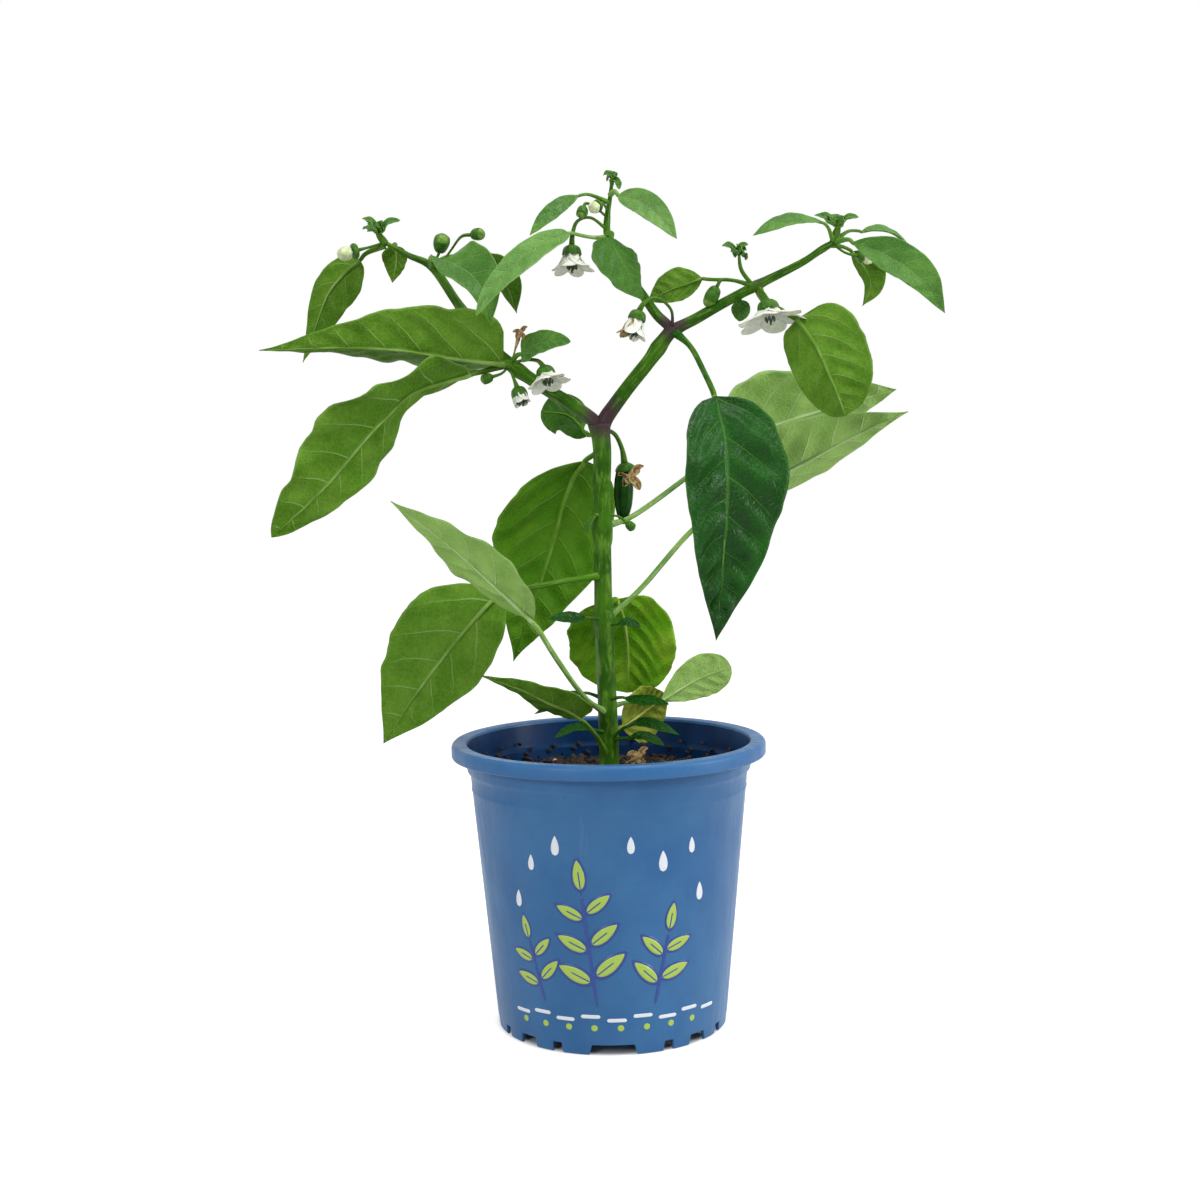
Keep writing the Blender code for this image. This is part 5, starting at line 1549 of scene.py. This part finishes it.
LEAVES = (
    Leaf("leaf_left_long", ((-37, -4, 272.5), (-38.5, -6, 272.8)), ((-40, -7, 273), (-60.5, -16, 275), (-79.5,
         -23, 278), (-102.5, -29, 279), (-133, -34, 278)), width=55, belly=0.2, point=1.3, fold=40, skew=0.2,
         faces=((0, 0.69, 0.73),), tone=LeafTone.MATURE),
    Leaf("leaf_left_drooping", ((-38.5, -2, 273), (-47.5, -6, 270)), ((-54, -12, 268.5), (-62.5, -17, 266),
         (-76, -24, 261), (-85.5, -29, 251.5), (-92.5, -31, 244), (-109, -35, 224.5), (-130, -37, 205.5)),
         width=36, belly=0.42, point=0.8, fold=6, skew=-0.2, faces=((-0.2, 0.5, 0.9), (-0.15, 0.55, 0.85),
         (-0.13, 0.86, 0.5), (-0.13, 0.86, 0.5)), waist=(0.27, 0.45, 0.09), tone=LeafTone.MATURE, wave=3.2),
    Leaf("leaf_left_outer", ((-88, 3.5, 322), (-96, 6, 319)), ((-98.5, 8, 316.5), (-105, 11, 312), (-113, 14,
         303.5), (-119.5, 18, 290), (-125.5, 20, 276)), width=20, belly=0.32, point=1.3, fold=24, skew=0.05,
         faces=((0.27, 0.95, 0.16),), tone=LeafTone.MATURE),
    Leaf("leaf_left_small", ((-84, 3, 320.8), (-84, 6, 322.5)), ((-84, 8, 322), (-84, 10, 316), (-86, 11,
         307.5)), width=11, belly=0.3, point=1.1, fold=19, skew=-0.2, faces=((0, -0.3, 1), (0, 1, 0.1), (0, 1,
         0.1)), tone=LeafTone.MATURE),
    Leaf("leaf_left_upper_front", ((-68.5, 2, 312.5), (-68.5, -3, 315.5)), ((-68, -6, 315.5), (-60, -14, 312.5),
         (-52.5, -20, 308), (-46.5, -25, 300.5), (-43, -29, 286)), width=21.5, belly=0.38, point=1.3, fold=23,
         skew=-0.18, faces=((0.6, -0.2, 0.75), (0, -0.87, 0.49), (0, -0.87, 0.49), (0, -0.87, 0.49)),
         tone=LeafTone.YOUNG),
    Leaf("leaf_left_upper_back", ((-68.5, 2, 312.5), (-64.5, 9, 317)), ((-60, 14, 318.5), (-50.5, 22, 316.5),
         (-40.5, 28, 309), (-36, 32, 296)), width=19, belly=0.48, point=1.3, fold=13, skew=0.03, faces=((0.45,
         0.64, 0.62),), tone=LeafTone.MATURE),
    Leaf("leaf_middle_long", ((3, 0, 323), (-4, -7, 322.5)), ((-13, -12, 324), (-25, -20, 317.5), (-34.5, -28,
         309), (-43, -34, 299.5), (-48.5, -38, 289.5)), width=13, belly=0.38, point=0.8, fold=28, skew=-0.2,
         faces=((0.08, -0.84, 0.54),), tone=LeafTone.PALE),
    Leaf("leaf_middle_top_left", ((3.8, 0, 337), (-4, -2, 340)), ((-8.5, -4, 339.5), (-15, -8, 336.5), (-22,
         -12, 330.5), (-28, -16, 322.5)), width=7, belly=0.45, point=1, fold=4, skew=-0.2, faces=((0, -0.92,
         0.39),), tone=LeafTone.YOUNG),
    Leaf("leaf_middle_top_right", ((4.2, 0, 340), (6, -3, 341)), ((7.5, -5, 339), (16, -12, 335.5), (23.5, -17,
         329), (30, -22, 319.5)), width=11.5, belly=0.41, point=0.97, fold=18, skew=0, faces=((-0.15, -0.92,
         0.37),), tone=LeafTone.PALE),
    Leaf("leaf_middle_hanging", ((3, 0, 324.5), (4.5, -5, 324)), ((4.5, -8, 322), (6, -11, 317), (8.5, -13,
         312), (12, -13, 305), (17.5, -11, 296)), width=22.5, belly=0.36, point=1.3, fold=4, skew=0.2,
         faces=((0.49, -0.72, 0.48),), tone=LeafTone.SHADED),
    Leaf("leaf_far_inner", ((62.5, 0, 302.5), (54, 4, 305.5), (46.5, 5, 306)), ((41.5, 6, 306.5), (35.5, 8,
         304.5), (29, 9, 302.5), (19, 10, 298)), width=14.5, belly=0.44, point=1.1, fold=5, skew=-0.2,
         faces=((0.25, 0.94, -0.23),), tone=LeafTone.MATURE),
    Leaf("leaf_front_large", ((29.5, -4, 284.5), (35.5, -11, 278), (39.5, -20, 269)), ((44, -30, 257.5), (47,
         -37, 240.5), (47.5, -41, 221), (46.5, -41, 204), (45, -38, 184), (43, -34, 162)), width=42, belly=0.31,
         point=1.1, fold=12, skew=-0.14, faces=((0.25, -0.96, 0.14),), tone=LeafTone.DARK, wave=1.1,
         pucker=2.6),
    Leaf("leaf_far_round", ((63.5, 0, 302.5), (66, 0, 297), (70.5, -5, 293.5)), ((78.5, -8, 288.5), (85, -13,
         278), (89.5, -16, 267), (93.5, -16, 257.5), (97, -14, 249.5)), width=33, belly=0.4, point=0.4, fold=12,
         skew=0.2, faces=((0, 0.95, 0.32),), tone=LeafTone.MATURE),
    Leaf("leaf_right_back", ((-0.5, 1, 206.5), (11, 8, 209.5), (33.5, 20, 224.5)), ((51, 28, 237.5), (73.5, 34,
         247), (99.5, 38, 254.5), (126.5, 40, 261.5)), width=49, belly=0.27, point=1.07, fold=14, skew=0,
         faces=((0.1, 0.85, 0.52),), tone=LeafTone.PALE),
    Leaf("leaf_right_front", ((-0.5, 1, 167.5), (14, 4, 179.5), (36, 8, 203.5)), ((54.5, 10, 216.5), (76, 10,
         227.5), (97.5, 8, 238.5), (110.5, 4, 245), (124.5, 0, 251)), width=43, belly=0.31, point=1.26, fold=23,
         skew=0.03, faces=((0.07, 0.63, 0.77),), tone=LeafTone.PALE, wave=0.6),
    Leaf("leaf_back_large", ((-1, 1, 238), (-3.5, 8, 236)), ((-8.5, 14, 233), (-13, 22, 227), (-18, 30, 214.5),
         (-24.5, 36, 192.5), (-41, 41, 146)), width=57.5, belly=0.39, point=1.29, fold=4, skew=0, faces=((-0.47,
         0.85, 0.24),), tone=LeafTone.SHADED),
    Leaf("leaf_left_raised", ((-0.5, -1, 129), (-9.5, -10, 137), (-21, -22, 155.5)), ((-29, -28, 170.5), (-44,
         -36, 186), (-60, -42, 201.5), (-82, -46, 219)), width=36, belly=0.41, point=1.3, fold=7, skew=-0.07,
         faces=((0.41, 0.51, 0.75),), tone=LeafTone.PALE),
    Leaf("leaf_left_lower", ((-1, -1, 186), (-16.5, -8, 184.5), (-30.5, -14, 182.5)), ((-42.5, -17, 181),
         (-54.5, -21, 168.5), (-65, -22, 156), (-75.5, -21, 142.5), (-91, -18, 120.5)), width=43, belly=0.39,
         point=1.1, fold=5, skew=-0.2, faces=((0.23, 0.97, -0.13),), tone=LeafTone.MATURE),
    Leaf("leaf_fork_back", ((-1, 1, 242), (-3, 6, 243)), ((-6, 10, 244), (-10, 14, 248), (-16, 17, 252.5), (-26,
         19, 254)), width=19, belly=0.6, point=0.51, fold=4, skew=0, faces=((0, 0.1, 1), (-0.39, 0.88, -0.27),
         (-0.39, 0.88, -0.27), (-0.39, 0.88, -0.27)), tone=LeafTone.SHADED),
    Leaf("leaf_round_back", ((-1, 1, 172), (3, 8, 175)), ((4.5, 12, 175), (7.5, 18, 165.5), (9, 22, 150.5),
         (8.5, 23, 134)), width=48, belly=0.52, point=0.4, fold=13, skew=-0.14, faces=((0.16, 0.98, 0.11),),
         tone=LeafTone.BRIGHT),
    Leaf("leaf_old_yellow", ((0, 1, 118), (5, 8, 121)), ((6, 10, 121), (12.5, 15, 125), (19, 20, 128.5), (26,
         24, 132)), width=27, belly=0.46, point=0.9, fold=6, skew=-0.13, faces=((0.1, 0.91, 0.39),),
         tone=LeafTone.OLD),
    Leaf("leaf_low_front", ((0, -1, 134.5), (4, -6, 136)), ((7, -9, 136.5), (13, -16, 136.5), (19, -22, 136.5),
         (24.5, -27, 136)), width=7, belly=0.45, point=1.1, fold=6, skew=0, faces=((0, -0.6, 0.8),),
         tone=LeafTone.DARK),
    Leaf("leaf_low_base", ((0, -1, 116), (4, -5, 121.5)), ((7.5, -8, 124.5), (13, -13, 127), (19, -18, 126.5),
         (28.5, -24, 123)), width=6, belly=0.45, point=1.1, fold=6, skew=0, faces=((0, -0.6, 0.8),),
         tone=LeafTone.DARK),
    Leaf("leaf_low_spoon", ((0, 1, 131), (11.5, 5, 133)), ((22, 9, 132), (30.5, 13, 136.5), (39, 16, 140.5),
         (52.5, 18, 145)), width=18.5, belly=0.66, point=0.5, fold=4, skew=0.06, faces=((0.1, 0.98, 0.14),),
         tone=LeafTone.PALE),
    Leaf("leaf_low_folded", ((0, -1, 111), (-5, -10, 121), (-9, -17, 127)), ((-11, -19, 129.5), (-15, -22, 133),
         (-24, -26, 137.5), (-34.5, -30, 143.5), (-51, -34, 150)), width=22, belly=0.2, point=1.3, fold=16,
         skew=0.05, faces=((0.19, 0.63, 0.75),), tone=LeafTone.MATURE),
    Leaf("leaf_low_back", ((-0.5, 1, 134), (-7.5, 4, 136.5)), ((-11.5, 6, 136.5), (-17.5, 8, 134.5), (-31, 12,
         127)), width=6, belly=0.4, point=1.1, fold=6, skew=0, faces=((0, -0.6, 0.8),), tone=LeafTone.DARK),
    Leaf("leaf_small_shelf", ((-1, -1, 168), (-6, -6, 169)), ((-8.5, -8, 169.5), (-16.5, -12, 170), (-23.5, -17,
         170)), width=6, belly=0.4, point=1.1, fold=6, skew=0, faces=((0, -0.75, 0.65),), tone=LeafTone.DARK),
    Leaf("leaf_cluster_small", ((-37, -3, 273.5), (-34.5, -6, 276)), ((-32.5, -7, 276.5), (-27, -11, 279.5),
         (-20, -14, 281), (-12.5, -16, 280.5)), width=13, belly=0.25, point=0.66, fold=14, skew=0, faces=((0,
         -0.83, 0.55),), tone=LeafTone.YOUNG),
    Leaf("leaf_crown_narrow", ((94.5, 0, 319.5), (92, -3, 325)), ((89.5, -4, 327.5), (80, -8, 328.5), (71, -12,
         326.5), (60.5, -16, 321)), width=8, belly=0.47, point=1, fold=4, skew=0, faces=((0.24, -0.57, 0.79),),
         tone=LeafTone.YOUNG),
    Leaf("leaf_crown_right", ((95, 0, 320), (99.5, -6, 320)), ((101, -8, 318.5), (107, -14, 315.5), (114, -20,
         311), (125, -28, 301.5), (133, -33, 288)), width=15.5, belly=0.46, point=1.05, fold=18, skew=-0.1,
         faces=((-0.27, -0.86, 0.44),), tone=LeafTone.YOUNG),
    Leaf("leaf_crown_hanging", ((93, 0.2, 318.8), (99, 6, 318.5)), ((103.5, 9.5, 317), (110, 12, 309), (111.5,
         13, 302.5), (108, 13, 295)), width=13, belly=0.38, point=1.3, fold=19, skew=0.17, faces=((0.63, 0.72,
         0.28),), tone=LeafTone.MATURE),
    Leaf("leaf_crown_back", ((95.5, 0.3, 320.5), (101, 4, 324.5)), ((107, 8, 325), (113.5, 12, 326), (121.5, 18,
         325), (131, 25, 319)), width=7.5, belly=0.47, point=1.1, fold=19, skew=0, faces=((0, -0.58, 0.82),),
         tone=LeafTone.YOUNG),
    Leaf("leaf_far_under", ((57.5, 0, 300), (57, 4, 299)), ((56.5, 5, 297.5), (57, 6, 293.5), (56.5, 6, 289)),
         width=8, belly=0.4, point=0.7, fold=10, skew=0, faces=((0, -1, 0.1),), tone=LeafTone.YOUNG),
)

BUDS = (
    Bud("bud_left_white", ((-88, 3, 323), (-93, 0, 321), (-98, -2, 319.5)), 9, 3.3, open_share=0.7),
    Bud("bud_left_round", ((-69, 2, 313), (-66.2, 1.5, 317), (-65.2, -0.5, 319)), 8, 3.4, open_share=0.1),
    Bud("bud_left_end", ((-67, 1.5, 311), (-61, 2, 319), (-56.5, 1, 324.5), (-52, -1, 325)), 6, 2.6,
         open_share=0.25),
    Bud("bud_middle_green", ((3, 0, 331), (-2, -3, 335), (-5.5, -6, 336), (-6.5, -8, 334)), 5, 2.4,
         open_share=0.1),
    Bud("bud_middle_pale", ((3.2, 0, 333.5), (1.5, -3, 336), (-0.5, -6.5, 335)), 6, 2.7, open_share=0.6),
    Bud("bud_far_pale", ((62, -0.5, 302), (56.5, -5, 304), (49, -6, 305), (46.5, -5, 302)), 9, 3,
         open_share=0.3),
    Bud("bud_crown_pale", ((94, -0.3, 319), (99, 0, 315.5), (104.5, 0.5, 314)), 6.5, 2.8, open_share=0.65),
    Bud("bud_node_green", ((-37.5, -3, 272.5), (-40.5, -6.5, 269), (-44.5, -8, 267.5)), 5, 2.2, open_share=0.1),
)

FLOWERS = (
    Flower("flower_middle", ((3, 0, 326), (-3.5, -4, 330.5), (-9, -7, 329), (-11, -9, 324), (-11.5, -9, 319)),
         (0, -0.15, -1), 9, 10),
    Flower("flower_fork", ((28.5, -3.5, 285.5), (28, -8, 293), (22.5, -11, 297.5), (17.5, -12, 296), (15, -12.5,
         292.5)), (-0.3, -0.15, -0.95), 6.2, 11, browned=0.35),
    Flower("flower_far", ((63.5, -0.5, 302.5), (65.5, -6, 299), (66.5, -9, 296)), (0.12, -0.22, -0.97), 15, 9,
         petals=6),
    Flower("flower_left_open", ((-37, -3.5, 273), (-31, -9, 274), (-26, -11, 273.5), (-23.5, -12, 271)), (0.25,
         -0.3, -0.92), 9.2, 7.5),
    Flower("flower_left_side", ((-38, -3, 272), (-36, -6.5, 267), (-34.5, -9, 263)), (0.3, -0.25, -0.92), 3.6,
         7),
)

FRUIT = Fruit(stalk=((-0.5, 1, 246), (4.5, 7, 244), (7.5, 10, 238), (8.5, 11, 232)),
              pod=((8.4, 11, 229.5), (8, 11, 221), (7.8, 10.6, 214), (7.5, 10, 206.5)),
              pod_radii=(3.2, 3.8, 4.1, 4.0, 3.6, 2.6, 1.0), cap_radius=4.6, cap_depth=3.2)

DRIED_FLOWERS = (
    Withered("withered_flower", (7, 8, 228), (11, 5.5, 226)),
    Withered("withered_node_bloom", (-36.5, -3, 274.5), (-33, -6, 285), 0.55),
    Withered("withered_fallen_bloom", (7, 1, 107.5), (12, 0, 110), 0.8),
)

SMALL_GROWTH = (
    Leaf("leaf_shelf_twin", ((1, -2.5, 166), (4.5, -3.5, 166.5)), ((4.5, -3.5, 166.5), (9, -4.5, 167), (14, -5, 165)),
         5, 0.5, 0.8, 10, 0, ((0, -0.6, 0.8),), tone=LeafTone.DARK, modelled=False),
    Leaf("leaf_axil_left", ((-2, -2, 211), (-4, -4, 211)), ((-4, -4, 211), (-6.5, -5, 208), (-8, -5, 203)),
         3.4, 0.5, 0.8, 12, 0, ((-0.6, -0.8, 0.3),), tone=LeafTone.MATURE, modelled=False),
    Leaf("leaf_foot_left", ((-1, -2, 121), (-7, -6, 123)), ((-7, -6, 123), (-14, -7, 124), (-22, -7, 120)),
         5, 0.5, 0.8, 10, 0, ((0, -0.5, 0.8),), tone=LeafTone.DARK, modelled=False),
    Leaf("leaf_foot_right", ((1, -2, 118), (8, -5, 119)), ((8, -5, 119), (15, -6, 120), (23, -7, 116)),
         5.5, 0.5, 0.8, 10, 0, ((0, -0.5, 0.8),), tone=LeafTone.DARK, modelled=False),
    Bud("bud_axil", ((1.5, -1, 211), (6, -2, 210), (9, -2, 207.5)), 4.2, 2.0, open_share=0.1, modelled=False),
)


SHOOTS = (
    Shoot("shoot_left", ((-87.5, 3, 322.5), (-90, 2, 326)), 1.6, ((-96, -2, 332), (-81, 1, 331.5), (-97, 6,
         329)), 3.5),
    Shoot("shoot_middle", ((5, 0, 344), (5, 0, 346.5)), 0.9, ((1.5, 1, 348), (8, -2, 342), (5.5, 1, 349.5)),
         2.2),
    Shoot("shoot_far", ((94.5, 0, 319.5), (96, -0.5, 325)), 1.8, ((87, 3, 331), (104, -4, 329), (94, 6, 331.5)),
         3.5),
    Shoot("shoot_far_side", ((61.5, 0.3, 303), (57, -0.5, 309), (56, -1, 315)), 0.9, ((49, -4, 318.5), (59.5,
         -3, 319), (59, 3, 313.5)), 3),
)


# ---------------------------------------------------------------------------------------------
# Studio
# ---------------------------------------------------------------------------------------------

@dataclass
class Studio:
    """A white floor, plain soft light and the camera."""
    camera_distance: float = 0.7061
    camera_height: float = 0.2355
    lens: float = 51.57
    pitch: float = 0.0843
    roll: float = 0.0164
    yaw: float = 0.0036

    def white_where_seen(self, tree: bpy.types.NodeTree) -> bpy.types.NodeSocket:
        """Return 1 for camera, glossy and transmission rays, and 0 for light that bounces."""
        rays = add_node(tree, "ShaderNodeLightPath")
        seen = math_socket(tree, "MAXIMUM", rays.outputs["Is Camera Ray"], rays.outputs["Is Glossy Ray"])
        return math_socket(tree, "MAXIMUM", seen, rays.outputs["Is Transmission Ray"])

    def build_world(self, strength: float) -> None:
        """Light the scene evenly, with white behind it."""
        world = bpy.data.worlds.new("studio_white")
        world.use_nodes = True
        bpy.context.scene.world = world
        tree = world.node_tree
        backdrop = tree.nodes["Background"]
        backdrop.inputs["Color"].default_value = (1, 1, 1, 1)
        tree.links.new(ramp_socket(tree, self.white_where_seen(tree), 0.0, 1.0, strength, 1.0),
                       backdrop.inputs["Strength"])

    def build_floor(self) -> None:
        """Lay the white floor, which takes the object's shadow; its glow is cut out in a disc under the pot's foot, a
        painted shadow there.
        """
        bpy.ops.object.select_all(action="DESELECT")
        bpy.ops.mesh.primitive_plane_add(size=12.0, location=(0, 0, -0.0002))
        floor_plane = bpy.context.object
        floor_plane.name = "studio_floor"
        made, tree, shader = new_material("matt_white_floor")
        shader.inputs["Base Color"].default_value = (0.6, 0.6, 0.6, 1)
        shader.inputs["Roughness"].default_value = 0.9
        shader.inputs["Specular IOR Level"].default_value = 0.1
        shader.inputs["Emission Color"].default_value = (1, 1, 1, 1)
        place = add_node(tree, "ShaderNodeTexCoord").outputs["Object"]
        reach = add_node(tree, "ShaderNodeVectorMath", {"operation": "LENGTH"}, {0: place}).outputs["Value"]
        # No glow within about 45 mm of the middle: a painted shadow under the pot's foot.
        outside = ramp_socket(tree, reach, 0.043, 0.05, 0.0, 0.76)
        tree.links.new(math_socket(tree, "MULTIPLY", self.white_where_seen(tree), outside),
                       shader.inputs["Emission Strength"])
        floor_plane.data.materials.append(made)

    def add_light(self, name: str, place: Point, aim: Point, size: float, watts: float) -> None:
        """Add one square soft light that looks at a point."""
        lamp = bpy.data.lights.new(name, "AREA")
        lamp.size = size
        lamp.energy = watts
        holder = bpy.data.objects.new(name, lamp)
        holder.location = place
        holder.rotation_euler = (Vector(aim) - Vector(place)).to_track_quat("-Z", "Y").to_euler()
        bpy.context.scene.collection.objects.link(holder)

    def build_camera(self) -> None:
        """Set the camera in front of the plant, a little above its middle."""
        camera = bpy.data.cameras.new("front_camera")
        camera.lens = self.lens
        camera.sensor_width = 36.0
        holder = bpy.data.objects.new("front_camera", camera)
        turn = (Matrix.Rotation(self.yaw, 4, "Z") @ Matrix.Rotation(pi / 2 - self.pitch, 4, "X")
                @ Matrix.Rotation(-self.roll, 4, "Z"))
        holder.matrix_world = Matrix.Translation((0, -self.camera_distance, self.camera_height)) @ turn
        bpy.context.scene.collection.objects.link(holder)
        bpy.context.scene.camera = holder

    def build(self) -> None:
        """Build the camera, floor, world and lights."""
        self.build_camera()
        self.build_world(0.42)
        self.build_floor()
        self.add_light("top_softbox", (0.25, -0.35, 1.25), (0, 0, 0.2), 0.55, 8.0)
        self.add_light("front_softbox", (-0.65, -1.0, 0.62), (0, 0, 0.2), 0.28, 4.8)
        self.add_light("side_softbox", (1.1, -0.25, 0.5), (0, 0, 0.22), 0.35, 6.2)
        bpy.context.scene.view_settings.view_transform = "Standard"


def main() -> None:
    """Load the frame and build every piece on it."""
    logging.basicConfig(level=logging.INFO, format="%(message)s")
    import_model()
    bpy.ops.object.select_all(action="DESELECT")
    Studio().build()
    pot = NurseryPot()
    # The inner wall's darker copy of the blue plastic is painted shade inside the pot.
    pot.build(PotFinish().material(),
              PotFinish("polypropylene_inside_painted_shade", "#073a6c", "#052a54", "#22507e", gloss=0.12).material())
    PotPrint(pot).build({"lime": InkFinish("lime_ink", "#a9c64e").material(),
                         "outline": InkFinish("deep_blue_ink", "#1e3f8f").material(),
                         "white": InkFinish("white_ink", "#e6ebf2").material()})
    PottingSoil(pot).build()
    wardrobe = Wardrobe(JOINT_TINTS)
    for growth in (*STEMS, *LEAVES, *BUDS, *FLOWERS, FRUIT, *SHOOTS, *DRIED_FLOWERS, *SMALL_GROWTH):
        growth.build(wardrobe)


if __name__ == "__main__":
    main()
